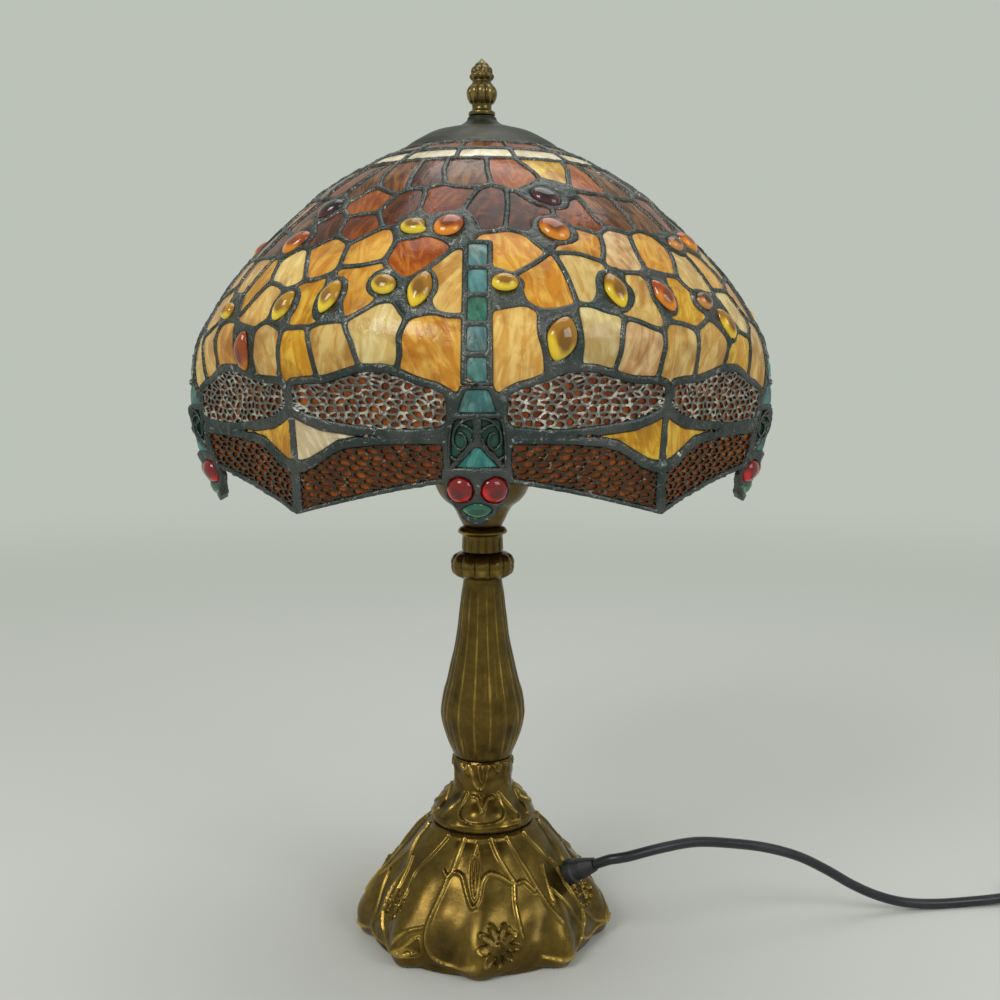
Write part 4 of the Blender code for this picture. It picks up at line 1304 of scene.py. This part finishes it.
def glass_target(facts, origin):
    """Name of the glass object that a piece belongs to."""
    part = facts.get("name")
    if part in ("tail", "chest", "left", "right", "belly"):
        return f"dragonfly_glass_{nearest_body(origin)}"
    if part in ("eye", "chin"):
        return "dragonfly_eyes"
    if facts["kind"] == "jewel":
        return f"jewels_{sector_of(origin)}"
    if part in ("upper", "lower", "spandrel"):
        side = "left" if facts["side"] < 0 else "right"
        return f"wing_glass_{nearest_body(origin - facts['side'] * SPAN / 2)}_{side}"
    return f"dome_glass_{sector_of(origin)}"


def build_shade():
    """The lead and, by name, the pieces of glass between it."""
    lead = Leading()
    nets = {}
    rng = np.random.default_rng(7)
    smallest = 22.0                          # mm2; anything less is solder
    for region, facts, loops in shade_regions():
        origin = facts["azimuth"]
        loops = [hand_drawn(subdivide(loop, STEP, origin)) for loop in loops]
        if facts["kind"] == "solder":
            lead.fill(loops, origin)
            continue
        panes = nets.setdefault(glass_target(facts, origin), Panes())
        for loop in loops:
            azimuth, arc = from_plane(loop)
            flat = flatten(azimuth, arc, origin)
            if area_of(flat) < smallest:
                if area_of(flat) > 0:
                    lead.fill([loop], origin)
                continue
            if facts["kind"] == "jewel":
                place_jewel(lead, panes, loop, facts, rng)
                continue
            tones = shades_of(TONES[facts["tone"]], rng)
            if facts["kind"] == "wing":
                inner = inset(flat, 2.3)
                lead.ring(loop, inner, origin, BEZEL, 0.55)
                panes.plate(inner, origin, tones, rng, 0.9, -1.1)
                continue
            inner = inset(flat, 1.1 if region[0] in ("white", "brown") else lead_width(arc))
            lead.ring(loop, inner, origin, LEAD_EDGE)
            panes.cushion(inner, origin, tones, rng)
    lead.close_edges()
    return lead, nets


THORAX_WIRES = [                             # sideways distance, height; each is mirrored too
    [(-0.6, 290.6), (-4.6, 289.6), (-8.6, 285.6), (-9.2, 280.0), (-6.2, 277.6), (-3.8, 280.4),
     (-5.0, 284.0), (-7.4, 284.4)],
    [(-0.4, 284.6), (-3.4, 287.2), (-6.4, 287.8)],
    [(-1.2, 282.2), (-3.4, 276.2), (-7.4, 273.2), (-10.6, 274.6)],
    [(-9.6, 290.4), (-10.8, 284.0), (-11.4, 277.0), (-11.2, 270.0)],
]


def thorax_wire(net, path, centre, thick=0.62, sides=8):
    """A round wire laid on a dragonfly's back."""
    path = smooth_line([(x, z, 0.0) for x, z in path], 0.8)[:, :2]
    across, arc = path[:, 0], arc_of(path[:, 1])
    along = np.gradient(np.stack([across, -arc], -1), axis=0)
    along /= np.linalg.norm(along, axis=1, keepdims=True)
    rings = []
    for k in range(len(path)):
        angle = np.arange(sides) * TURN / sides
        x = across[k] - along[k, 1] * thick * np.cos(angle)
        s = arc[k] - along[k, 0] * thick * np.cos(angle)
        rings.append(net.row(centre + x / radius_of(s), s, 2.1 + thick * np.sin(angle)))
    for near, far in zip(rings, rings[1:]):
        net.band(near, far)
    net.faces.append(tuple(reversed(rings[0])))
    net.faces.append(tuple(rings[-1]))


def build_thorax():
    net = Net()
    for fifth in range(SIDES):
        for wire in THORAX_WIRES:
            for side in (-1, 1):
                thorax_wire(net, [(side * x, z) for x, z in wire], fifth * 2 * SPAN)
    return net


def on_shade(name, net, look, smooth=None):
    """A piece of the shade made from a net."""
    obj = make_mesh(name, net.points(), net.faces, LOOKS[look], smooth)
    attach(obj, "shade")
    return obj


GLASS_KINDS = {                              # what a glass object's name starts with: look, slot, CAD node
    "dome_glass": ("opal", "amber_glass", "dome_panel"),
    "wing_glass": ("opal", "wing_glass", "wing"),
    "dragonfly_glass": ("opal", "teal_glass", "dragonfly"),
    "dragonfly_eyes": ("jewel", "teal_glass", None),
    "jewels": ("jewel", "amber_glass", None),
}


def make_shade():
    lead, nets = build_shade()
    on_shade("thorax_wires", build_thorax(), "lead")
    on_shade("shade_leading", lead, "lead")
    on_shade("filigree_upper", build_filigree("upper"), "filigree", 40)
    on_shade("filigree_lower", build_filigree("lower"), "lace", 40)
    for name, net in sorted((name, net) for name, net in nets.items() if net.faces):
        kind = next(k for k in GLASS_KINDS if name.startswith(k))
        look, slot, stands_for = GLASS_KINDS[kind]
        glass = on_shade(name, net, look, 50)
        for layer in ("tone", "tint", "flow"):
            paint(glass, layer, getattr(net, layer))
        if stands_for:
            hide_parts(name.replace(kind, stands_for))


make_shade()


# ---------------------------------------------------------------- cast and turned metal

def lathe(name, outside, inside, columns, look, body, carve=None, spacing=0.6):
    """A closed turned piece that stands in for the CAD node of the same name.

    outside runs from the top down and is smoothed and carved; inside closes it from the bottom up.
    carve gives, for azimuth, arc length from the top, radius and height, how far the surface stands
    out and how worn it is."""
    outer = smooth_line([(r, z, 0.0) for r, z in outside], spacing)[:, :2]
    outer[:, 0] = np.maximum(outer[:, 0], 0.0)
    along = np.concatenate([[0.0], np.cumsum(np.hypot(*np.diff(outer, axis=0).T))])
    tangent = np.gradient(outer, along, axis=0)
    tangent /= np.linalg.norm(tangent, axis=1, keepdims=True)
    rows = np.concatenate([outer, np.array(inside, float).reshape(-1, 2)])
    azimuth = np.arange(columns) * TURN / columns
    radius = np.repeat(rows[:, :1], columns, 1)
    height = np.repeat(rows[:, 1:], columns, 1)
    worn = np.full(radius.shape, 0.35)
    if carve:
        count = len(outer)
        stand, worn[:count] = carve(azimuth[None, :] + np.zeros((count, 1)), along[:, None],
                                    outer[:, :1], outer[:, 1:])
        stand = stand * smoothstep(np.minimum(along, along[-1] - along) / 1.6)[:, None]
        radius[:count] += -tangent[:, 1:] * stand
        height[:count] += tangent[:, :1] * stand
        height = np.clip(height, rows[:, 1].min(), rows[:, 1].max())
    points = np.stack([radius * np.sin(azimuth), -radius * np.cos(azimuth), height], -1)
    numbers = np.arange(points.size // 3).reshape(radius.shape)
    numbers[rows[:, 0] < 1e-3] = numbers[rows[:, 0] < 1e-3][:, :1]
    faces = []
    for upper, lower in zip(numbers.tolist(), np.roll(numbers, -1, 0).tolist()):
        for col in range(columns):
            after = (col + 1) % columns
            corners = (upper[col], lower[col], lower[after], upper[after])
            faces.append(tuple(dict.fromkeys(corners)))
    faces = [face for face in faces if len(face) > 2]
    used = np.unique(np.concatenate([np.array(face) for face in faces]))
    place = np.full(numbers.size, -1)
    place[used] = np.arange(len(used))
    faces = [tuple(place[list(face)].tolist()) for face in faces]
    obj = make_mesh(name + "_cast", points.reshape(-1, 3)[used], faces, LOOKS[look], 50)
    layer = obj.data.attributes.new("relief", "FLOAT", "POINT")
    layer.data.foreach_set("value", worn.ravel()[used].astype(np.float32))
    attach(obj, body)
    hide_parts(name)


def casting_lumps(azimuth, radius, height, size, seed):
    """Soft unevenness of a casting, at places round a turned shape."""
    points = np.stack([radius * np.sin(azimuth), -radius * np.cos(azimuth), height + 0 * azimuth], -1)
    return waves(points.reshape(-1, 3), size, seed).reshape(azimuth.shape)


def raised_lines(azimuth, along, radius, height, wires, period, wide):
    """Nearness, 0 to 1, to lines given as (degrees, height) and repeated every period degrees."""
    half = period / 2
    degrees = (azimuth / DEG + half) % period - half
    near = np.full(azimuth.shape, 99.0)
    for wire in wires:
        curve = smooth_line([(az, z, 0.0) for az, z in wire], 2.5)[:, :2]
        arc = np.interp(-curve[:, 1], -height[:, 0], along[:, 0])
        for here, after, low, high in zip(curve[:-1, 0], curve[1:, 0], arc, arc[1:]):
            band = (along[:, 0] > min(low, high) - 2.5) & (along[:, 0] < max(low, high) + 2.5)
            reach = radius[band] * DEG
            run, rise = (after - here) * reach, high - low
            for turn in (-period, 0.0, period):
                x = (degrees[band] - here - turn) * reach
                y = along[band] - low
                share = np.clip((x * run + y * rise) / np.maximum(run * run + rise * rise, 1e-9), 0, 1)
                near[band] = np.minimum(near[band], np.hypot(x - share * run, y - share * rise))
    return ridge(near, 0.0, wide)


BASE_OUTSIDE = [(28.6, 61.6), (30.2, 60.6), (37.4, 53.6), (48.0, 40.4), (58.0, 29.0), (65.0, 17.6),
                (67.0, 10.0), (66.0, 4.0), (63.0, 0.9)]
BASE_INSIDE = [(55.2, 0.8), (55.2, 4.1), (52.6, 4.1), (51.6, 25.0), (42.0, 41.0), (25.0, 57.0),
               (BORE, 57.0), (BORE, 62.0), (26.0, 62.0)]
LOBES = 9
LILY_LINES = [                               # stems and the edges of the lily pads
    [(-18, 60.5), (-19.5, 53), (-21, 46.5)],
    [(-36, 60.5), (-43, 52), (-50, 42), (-47, 33), (-50, 24)],
    [(9, 60.5), (14, 52), (21, 42.5)],
    [(25, 60.5), (30, 51), (34, 41), (37, 30), (40, 22)],
    [(46, 60.5), (52, 50), (60, 42)],
    [(-28, 46.5), (-23.5, 44), (-21, 46.4), (-14, 45.4), (-9.5, 39), (-5, 33), (-1.5, 36), (0.5, 43.5),
     (5, 46.6), (12, 45.4), (21, 41.5), (28, 41.8), (33, 37)],
    [(-23.5, 44), (-25.5, 34), (-27.5, 22), (-25, 12), (-19, 7.5), (-10, 6.5), (-3, 9)],
    [(21, 41.5), (19, 34), (19, 26), (20, 20)],
    [(47, 46), (43, 38), (41, 31), (44, 36), (50, 28), (55, 16), (52, 8), (40, 6), (28, 8.5)],
    [(60, 42), (58, 32), (62, 20), (70, 11), (80, 8), (89, 10)],
    [(-62, 47), (-58, 40), (-56, 31), (-60, 20), (-66, 11), (-60, 6.5), (-48, 7.5), (-38, 9)],
]
LEAF_LINES = [
    [(-4.5, 59), (-7.6, 52), (-6.6, 43), (-4, 36.5), (-2, 43), (-1.6, 52), (-4.5, 59)],
    [(-4.5, 56), (-4.6, 48), (-4, 40)],
    [(-44, 8.5), (-40, 15), (-35, 20), (-29, 23)],
    [(-43, 8), (-36, 12), (-30, 18), (-29, 9), (-36, 8)],
    [(-38, 9), (-34, 12), (-31, 9.5)],
    [(16, 21), (14, 25), (12, 23)],
]
FLOWERS = [(8.0, 17.5, 11.0), (68.0, 27.0, 7.5)]     # degrees, height, radius


def flower(azimuth, along, radius, height, spot):
    """Nine-petalled flower: how far it stands out."""
    centre, level, size = spot
    at = np.interp(-level, -height[:, 0], along[:, 0])
    degrees = (azimuth / DEG - centre + 60.0) % 120.0 - 60.0
    across, down = degrees * DEG * radius, along - at
    far = np.hypot(across, down)
    petal = size * (0.40 + 0.60 * np.abs(np.cos(4.5 * np.arctan2(across, down))) ** 0.8)
    bed = np.exp(-(far / (0.9 * size)) ** 6)
    heart = np.exp(-(far / (0.16 * size)) ** 4)
    return 1.2 * ridge(far, petal, 0.075 * size) + 1.3 * heart - 0.5 * bed


def carve_base(azimuth, along, radius, height):
    """Lobed foot with lily pads, stems, leaves and flowers in relief."""
    fade = np.clip((46.0 - height) / 34.0, 0.0, 1.0)
    lobes = 2.6 * fade * (np.cos(LOBES * azimuth) + 0.35 * np.cos(2 * LOBES * azimuth))
    spot = (azimuth, along, radius, height)
    lines = raised_lines(*spot, LILY_LINES, 120.0, 0.85)
    leaves = raised_lines(*spot, LEAF_LINES, 120.0, 0.6)
    blossom = sum(flower(*spot, place) for place in FLOWERS)
    lumps = casting_lumps(azimuth, radius, height, 17.0, 51)
    ring = ridge(height, 60.2, 0.7)
    rim = smoothstep((14.0 - height) / 8.0)
    stand = lobes + 1.25 * lines + 0.9 * leaves + blossom + 0.4 * lumps + 0.5 * ring
    worn = 0.30 + 0.55 * np.maximum(lines, leaves) + 0.35 * blossom + 0.14 * lumps
    worn += 0.05 * lobes + 0.16 * rim + 0.3 * ring
    return stand, np.clip(worn, 0.0, 1.0)


FOOT_LINES = [
    [(-30, 80), (-33, 74), (-28, 69.5), (-12, 67.2), (6, 67.2), (24, 69), (31, 73.5), (30, 79.5)],
    [(-18, 79), (-8, 78), (0, 73), (8, 78), (18, 79)],
    [(-2, 79), (-1, 75), (0, 72)],
    [(34, 80), (42, 75), (50, 70), (46, 67), (38, 67.5)],
    [(-38, 80), (-46, 74), (-54, 68)],
    [(-46, 96), (-36, 93), (-28, 96), (-20, 92), (-16, 86), (-8, 82.5), (0, 83), (6, 87), (10, 94),
     (20, 96), (30, 92), (38, 96)],
    [(-8, 95.6), (-6, 90), (-1, 86), (2, 91), (-1, 95.6)],
    [(50, 96), (52, 88), (58, 83)],
]


def carve_foot(azimuth, along, radius, height):
    """Leafy relief on three soft bulges, over two rings."""
    lines = raised_lines(azimuth, along, radius, height, FOOT_LINES, 120.0, 0.75)
    rings = ridge(height, 65.4, 0.5) + ridge(height, 63.4, 0.6)
    lumps = casting_lumps(azimuth, radius, height, 8.0, 53)
    bulge = np.cos(3 * azimuth) * ridge(height, 73.0, 5.0)
    stand = 1.0 * lines + 0.45 * rings + 0.35 * lumps + 1.4 * bulge
    return stand, np.clip(0.30 + 0.55 * lines + 0.35 * rings + 0.2 * lumps + 0.2 * bulge, 0.0, 1.0)


def carve_column(azimuth, along, radius, height):
    """Sixteen thin ridges with shallow flutes between them."""
    step = TURN / 16
    off = np.abs(azimuth % step - step / 2) * radius
    width = step * radius
    taper = smoothstep((height - 98.5) / 8.0) * smoothstep((196.0 - height) / 10.0)
    rib = ridge(off, 0.0, 0.10 * width)
    flute = -np.cos(TURN * off / width)
    lumps = casting_lumps(azimuth, radius, height, 14.0, 54)
    stand = taper * (0.085 * width * rib + 0.035 * width * flute) + 0.12 * lumps
    return stand, np.clip(0.26 + 0.5 * taper * rib + 0.12 * lumps, 0.0, 1.0)


def carve_beads(azimuth, along, radius, height):
    """Twelve ribbed lobes round the collar."""
    swell = smoothstep((height - 197.6) / 2.6) * smoothstep((211.2 - height) / 2.6)
    lobe = np.abs(np.cos(6 * azimuth)) ** 0.7
    crease = ridge(height, 204.4, 0.8)
    stand = swell * (1.5 * lobe - 0.9) - 0.35 * crease
    return stand, np.clip(0.15 + 0.55 * lobe * swell - 0.2 * crease, 0.0, 1.0)


def carve_sleeve(azimuth, along, radius, height):
    """Fine flutes under a plain rim."""
    flute = np.cos(16 * azimuth) * smoothstep((221.0 - height) / 3.0)
    rim = ridge(height, 222.4, 1.4)
    return 0.28 * flute + 0.2 * rim, np.clip(0.32 + 0.18 * flute + 0.4 * rim, 0.0, 1.0)


def carve_finial(azimuth, along, radius, height):
    """Ribbed bulb below, layers of leaves with free tips above."""
    bulb = smoothstep((height - 447.0) / 2.0) * smoothstep((457.6 - height) / 2.0)
    ribs = np.abs(np.cos(5 * azimuth)) ** 0.7
    bud = smoothstep((height - 458.6) / 1.4)
    tier = (height - 459.0) / 4.0
    leaf = np.abs(np.cos(4 * azimuth + math.pi * np.floor(tier) * 0.5)) ** 0.8
    tip = leaf * (tier % 1.0) * (1 - tier % 1.0) * 4
    stand = bulb * (0.9 * ribs - 0.5) + bud * 0.85 * (tip - 0.35) * smoothstep((470.0 - height) / 5.0)
    worn = 0.2 + 0.5 * ribs * bulb + 0.55 * tip * bud + 0.4 * ridge(height, 443.0, 1.2)
    return stand, np.clip(worn, 0.0, 1.0)


def carve_cap(azimuth, along, radius, height):
    """A spun cap, almost smooth, with a rubbed rim."""
    lumps = casting_lumps(azimuth, radius, height, 16.0, 55)
    return 0.08 * lumps, np.clip(0.3 + 0.15 * lumps + 0.5 * ridge(radius, 42.4, 0.8), 0.0, 1.0)


def carve_thread(azimuth, along, radius, height):
    """Rolled screw thread below the bulb cap's rim."""
    pitch = 3.6
    wave = 0.5 - 0.5 * np.cos(TURN * height / pitch + azimuth)
    return -0.5 * wave * (radius > 13.0), 0.3 + 0.0 * azimuth


def make_castings():
    """Everything on the stem, from the base up; each outline runs down, each inside closes it."""
    lathe("base_casting", BASE_OUTSIDE, BASE_INSIDE, 720, "bronze", "lamp_frame", carve_base)
    lathe("stem_foot",
          [(15.8, 97.3), (16.6, 95.0), (16.0, 86.0), (17.2, 79.6), (20.6, 75.0), (25.0, 71.2), (27.4, 67.6),
           (28.3, 65.0), (28.2, 62.5)],
          [(26.0, 62.3), (BORE, 62.3), (BORE, 97.4), (14.0, 97.4)],
          420, "bronze", "lamp_frame", carve_foot)
    lathe("stem_column",
          [(10.4, 196.9), (10.9, 193.0), (11.8, 187.0), (14.6, 164.0), (19.2, 142.0), (21.6, 133.0),
           (22.8, 124.0), (22.6, 119.0), (20.5, 110.6), (16.2, 98.3)],
          [(15.4, 97.7), (BORE, 97.7), (BORE, 197.0), (9.4, 197.0)],
          480, "bronze", "lamp_frame", carve_column, 1.2)
    lathe("bead_collar",
          [(11.4, 211.3), (14.6, 210.0), (16.6, 206.8), (16.8, 203.6), (15.6, 199.6), (12.6, 197.4)],
          [(11.0, 197.3), (BORE, 197.3), (BORE, 211.4), (10.4, 211.4)],
          240, "bronze", "lamp_frame", carve_beads, 0.5)
    lathe("neck_sleeve",
          [(10.6, 225.3), (12.4, 224.4), (13.2, 222.2), (10.9, 220.0), (11.0, 211.8)],
          [(10.2, 211.7), (BORE, 211.7), (BORE, 225.4), (9.6, 225.4)],
          192, "bronze", "lamp_frame", carve_sleeve, 0.5)
    lathe("socket_cup",
          [(26.2, 250.4), (26.2, 249.6), (23.6, 243.6), (20.4, 239.6), (15.6, 235.6), (12.0, 228.6),
           (10.6, 225.9)],
          [(9.6, 225.7), (BORE, 225.7), (BORE, 237.6), (14.6, 237.6), (19.2, 241.0), (22.0, 244.4),
           (25.2, 250.4)],
          128, "bronze", "lamp_frame")


def make_cap_and_finial():
    lathe("vase_cap",
          [(6.8, 441.2), (7.5, 440.6), (8.6, 438.6), (13.0, 435.9), (20.0, 434.0), (27.7, 431.7),
           (37.0, 426.6), (42.0, 422.9), (42.9, 422.2), (42.9, 421.4)],
          [(42.6, 421.2), (40.6, 421.2), (35.6, 425.3), (26.8, 429.9), (19.6, 431.6), (10.0, 432.0),
           (3.6, 432.0), (3.6, 441.2)],
          180, "cap", "shade", carve_cap)
    lathe("finial",
          [(0.0, 471.0), (1.6, 469.4), (4.0, 467.0), (5.8, 463.4), (6.0, 461.6), (4.9, 459.4), (5.6, 457.6),
           (7.6, 454.4), (7.7, 451.8), (6.6, 449.2), (5.2, 447.2), (5.3, 444.6), (6.9, 443.4), (6.9, 441.8)],
          [(6.6, 441.6), (3.4, 441.6), (3.4, 454.6), (0.0, 456.0)],
          200, "finial", "finial", carve_finial, 0.25)


def make_bulb():
    lathe("bulb_glass",
          [(0.0, 361.2), (5.0, 360.8), (12.0, 359.0), (19.0, 355.2), (26.4, 347.0), (29.6, 336.0),
           (29.2, 325.0), (25.0, 313.0), (17.6, 300.0), (13.6, 290.0), (12.8, 282.2)],
          [(12.4, 281.9), (0.0, 281.9)],
          96, "frost", "bulb", spacing=1.5)
    lathe("bulb_cap",
          [(12.8, 281.5), (13.2, 281.0), (13.2, 269.0), (13.2, 257.6), (9.6, 254.4), (4.6, 252.6),
           (3.6, 250.8), (3.0, 250.4)],
          [(0.0, 250.4), (0.0, 281.6), (12.4, 281.6)],
          96, "steel", "bulb", carve_thread, 0.4)


make_castings()
make_cap_and_finial()
make_bulb()


# ---------------------------------------------------------------- cord and what is on it

def gland_point(distance):
    """A point on the bushing's axis, in mm out from the casting."""
    radius, height = GLAND_SEAT
    flat = math.cos(GLAND_RISE)
    axis = (math.sin(GLAND_AZIMUTH) * flat, -math.cos(GLAND_AZIMUTH) * flat, math.sin(GLAND_RISE))
    seat = (radius * math.sin(GLAND_AZIMUTH), -radius * math.cos(GLAND_AZIMUTH), height)
    return tuple(s + a * distance for s, a in zip(seat, axis))


def cord_route():
    """Centre of the flex: out of the bushing, along the table, through the switch and into the coil."""
    route = [gland_point(GLAND_TIP + d) for d in (0.3, 4.0, 10.0)]
    route += [(77.0, -34.0, 52.2), (96.0, -28.6, 54.8), (116.0, -20.0, 54.6), (138.0, -12.0, 50.4),
              (158.0, -6.5, 45.6), (177.0, -2.0, 38.6), (194.0, 2.0, 29.0), (210.0, 5.6, 18.6),
              (226.0, 9.0, 10.4), (243.0, 12.0, 5.0), (262.0, 14.8, 3.0), (282.0, 17.6, 3.0),
              (300.0, 19.8, 3.8), (309.0, 20.8, 5.4)]
    start, end = SWITCH_START, SWITCH_START + SWITCH_LENGTH
    through = [(start - 4.0, 6.0), (start + 20.0, 6.0), (end - 20.0, 6.0), (end + 3.0, 6.0),
               (end + 7.0, 4.8), (end + 11.0, 3.6), (end + 18.0, 3.0)]
    return route + [(x, SWITCH_Y, z) for x, z in through]


def coil_turn(turns):
    """Radius and height in the coil after a number of turns: three in, a rise, three out, one on."""
    step = COIL_OUTER - COIL_INNER
    low, high = 3.0, 8.5
    if turns < 3:
        return COIL_OUTER - step * turns / 3, low
    if turns < 3.5:
        return COIL_INNER, low + (high - low) * float(smoothstep((turns - 3) / 0.5))
    if turns < 6.5:
        return COIL_INNER + step * (turns - 3.5) / 3, high
    return COIL_OUTER, high


def cord_points():
    """The whole flex: its route, the coil's turns and the last stretch to the plug."""
    route = cord_route()
    steps = 24                               # points in each turn of the coil
    for index in range(1, round(7.25 * steps) + 1):
        turns = index / steps
        radius, height = coil_turn(turns)
        angle = -math.pi / 2 + turns * TURN
        route.append((COIL_CENTRE[0] + radius * math.cos(angle),
                      COIL_CENTRE[1] + radius * math.sin(angle), height))
    x, y = COIL_CENTRE[0] + COIL_OUTER, COIL_CENTRE[1]
    return route + [(x, y + 10.0, 8.3), (x, y + 20.0, 7.7), (x, PLUG_START + 1.0, PLUG_AXIS_Z)]


def round_wire(name, line, radius, look):
    """A round wire on the frame along a line in mm."""
    curve = bpy.data.curves.new(name, "CURVE")
    curve.dimensions = "3D"
    curve.bevel_depth = radius * MM
    curve.bevel_resolution = 5
    curve.use_fill_caps = True
    spline = curve.splines.new("POLY")
    spline.points.add(len(line) - 1)
    spline.points.foreach_set("co", np.column_stack([line * MM, np.ones(len(line))]).ravel())
    spline.use_smooth = True
    curve.materials.append(LOOKS[look])
    obj = in_scene(name, curve)
    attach(obj, "lamp_frame")
    return obj


def make_harp():
    """The bow of wire that carries the shade, from one ferrule over the bulb to the other."""
    side = [(20.75, 256.5), (20.75, 262.0), (20.75, 267.0), (21.35, 271.0), (30.0, 286.0), (43.0, 312.0),
            (47.0, 340.0), (42.0, 370.0), (28.0, 400.0), (15.0, 420.0), (8.0, 425.4)]
    bow = side + [(0.0, 426.0)] + [(-x, z) for x, z in reversed(side)]
    wire = round_wire("harp_bow", smooth_line([(x, 0.0, z) for x, z in bow], 2.5), 1.5, "brass")
    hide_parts("harp_wire")


def make_cord():
    line = smooth_line(cord_points(), 4.0)
    flex = round_wire("flex", line, CORD / 2, "cord")
    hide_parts("cord_lead", "cord_tail", "cord_coil")


make_harp()
make_cord()


# ---------------------------------------------------------------- carried-over pieces

CARRIED = {
    "brass": ("crown_ring", "harp_stud", "harp_saddle", "ferrule_left", "ferrule_right",
              "socket_liner"),
    "steel": ("bottom_plate", "pipe_washer", "pipe_nut", "saddle_nut", "lamp_pipe",
              "plug_pin_left", "plug_pin_right"),
    "black": ("cord_gland", "switch_housing", "switch_rocker", "plug_body"),
    "cord": ("inner_lead",),
    "rubber": ("seat_washer",),
    "bakelite": ("socket_shell",),
    "felt": ("felt_pad",),
}


def dress_carried():
    for look, names in CARRIED.items():
        for name in names:
            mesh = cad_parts[name].data
            mesh.materials.clear()
            mesh.materials.append(LOOKS[look])


dress_carried()


# ---------------------------------------------------------------- floor, light and camera

BACKDROP = srgb(188, 194, 184)
LAMP_MIDDLE = (0.0, 0.0, 0.25)               # in metres
CAMERA_TILT = 6.5                            # degrees below level


def make_floor():
    """Pale paper that takes shadows near the lamp and runs into the backdrop further out."""
    half = 9.0
    corners = [(-half, -half, 0), (half, -half, 0), (half, half, 0), (-half, half, 0)]
    floor = bpy.data.meshes.new("floor")
    floor.from_pydata(corners, [], [(0, 1, 2, 3)])
    material, tree, shader = new_material("floor_paper", Roughness=0.9, Specular_IOR_Level=0.1)
    coords = object_coords(tree)
    cloud = noise(tree, coords, 1.2, 2.0, 0.5)
    link(tree, mix(tree, cloud, (0.60, 0.60, 0.59), (0.64, 0.64, 0.63)), shader, "Base Color")
    far = node(tree, "ShaderNodeVectorMath", {0: coords}, operation="LENGTH").outputs["Value"]
    glow = node(tree, "ShaderNodeEmission", {"Color": (*BACKDROP, 1.0), "Strength": 1.0}).outputs[0]
    blend = node(tree, "ShaderNodeMixShader", {0: ramp(tree, far, 0.35, 2.2), 1: shader.outputs[0], 2: glow})
    tree.links.new(blend.outputs[0], tree.nodes["Material Output"].inputs["Surface"])
    floor.materials.append(material)
    in_scene("floor", floor)


def area_light(name, place, size, power, colour):
    """A square soft light that points at the middle of the lamp."""
    light = bpy.data.lights.new(name, "AREA")
    light.size = size
    light.energy = power
    light.color = colour
    obj = in_scene(name, light)
    obj.location = place
    obj.rotation_euler = (Vector(LAMP_MIDDLE) - Vector(place)).to_track_quat("-Z", "Y").to_euler()


def light_studio():
    world = bpy.data.worlds.new("studio")
    world.use_nodes = True
    background = world.node_tree.nodes["Background"]
    background.inputs["Color"].default_value = (*BACKDROP, 1.0)
    background.inputs["Strength"].default_value = 1.0
    bpy.context.scene.world = world
    area_light("key", (-0.75, -1.05, 1.25), 0.6, 9.0, (1.0, 0.98, 0.94))
    area_light("fill", (1.0, -0.95, 0.95), 0.7, 5.0, (0.96, 0.98, 1.0))
    area_light("top", (0.1, 0.3, 1.6), 1.0, 5.5, (1.0, 1.0, 1.0))
    bpy.context.scene.view_settings.view_transform = "Standard"


def place_camera():
    """The photograph's viewpoint: close in front, a little above the shade's foot."""
    data = bpy.data.cameras.new("camera")
    data.sensor_width = 36.0
    data.lens = 42.48
    data.clip_start = 0.01
    camera = in_scene("camera", data)
    camera.location = (9.5 * MM, -636.5 * MM, 312.0 * MM)
    camera.rotation_euler = ((90.0 - CAMERA_TILT) * DEG, 0.0, 0.0)
    bpy.context.scene.camera = camera


make_floor()
light_studio()
place_camera()
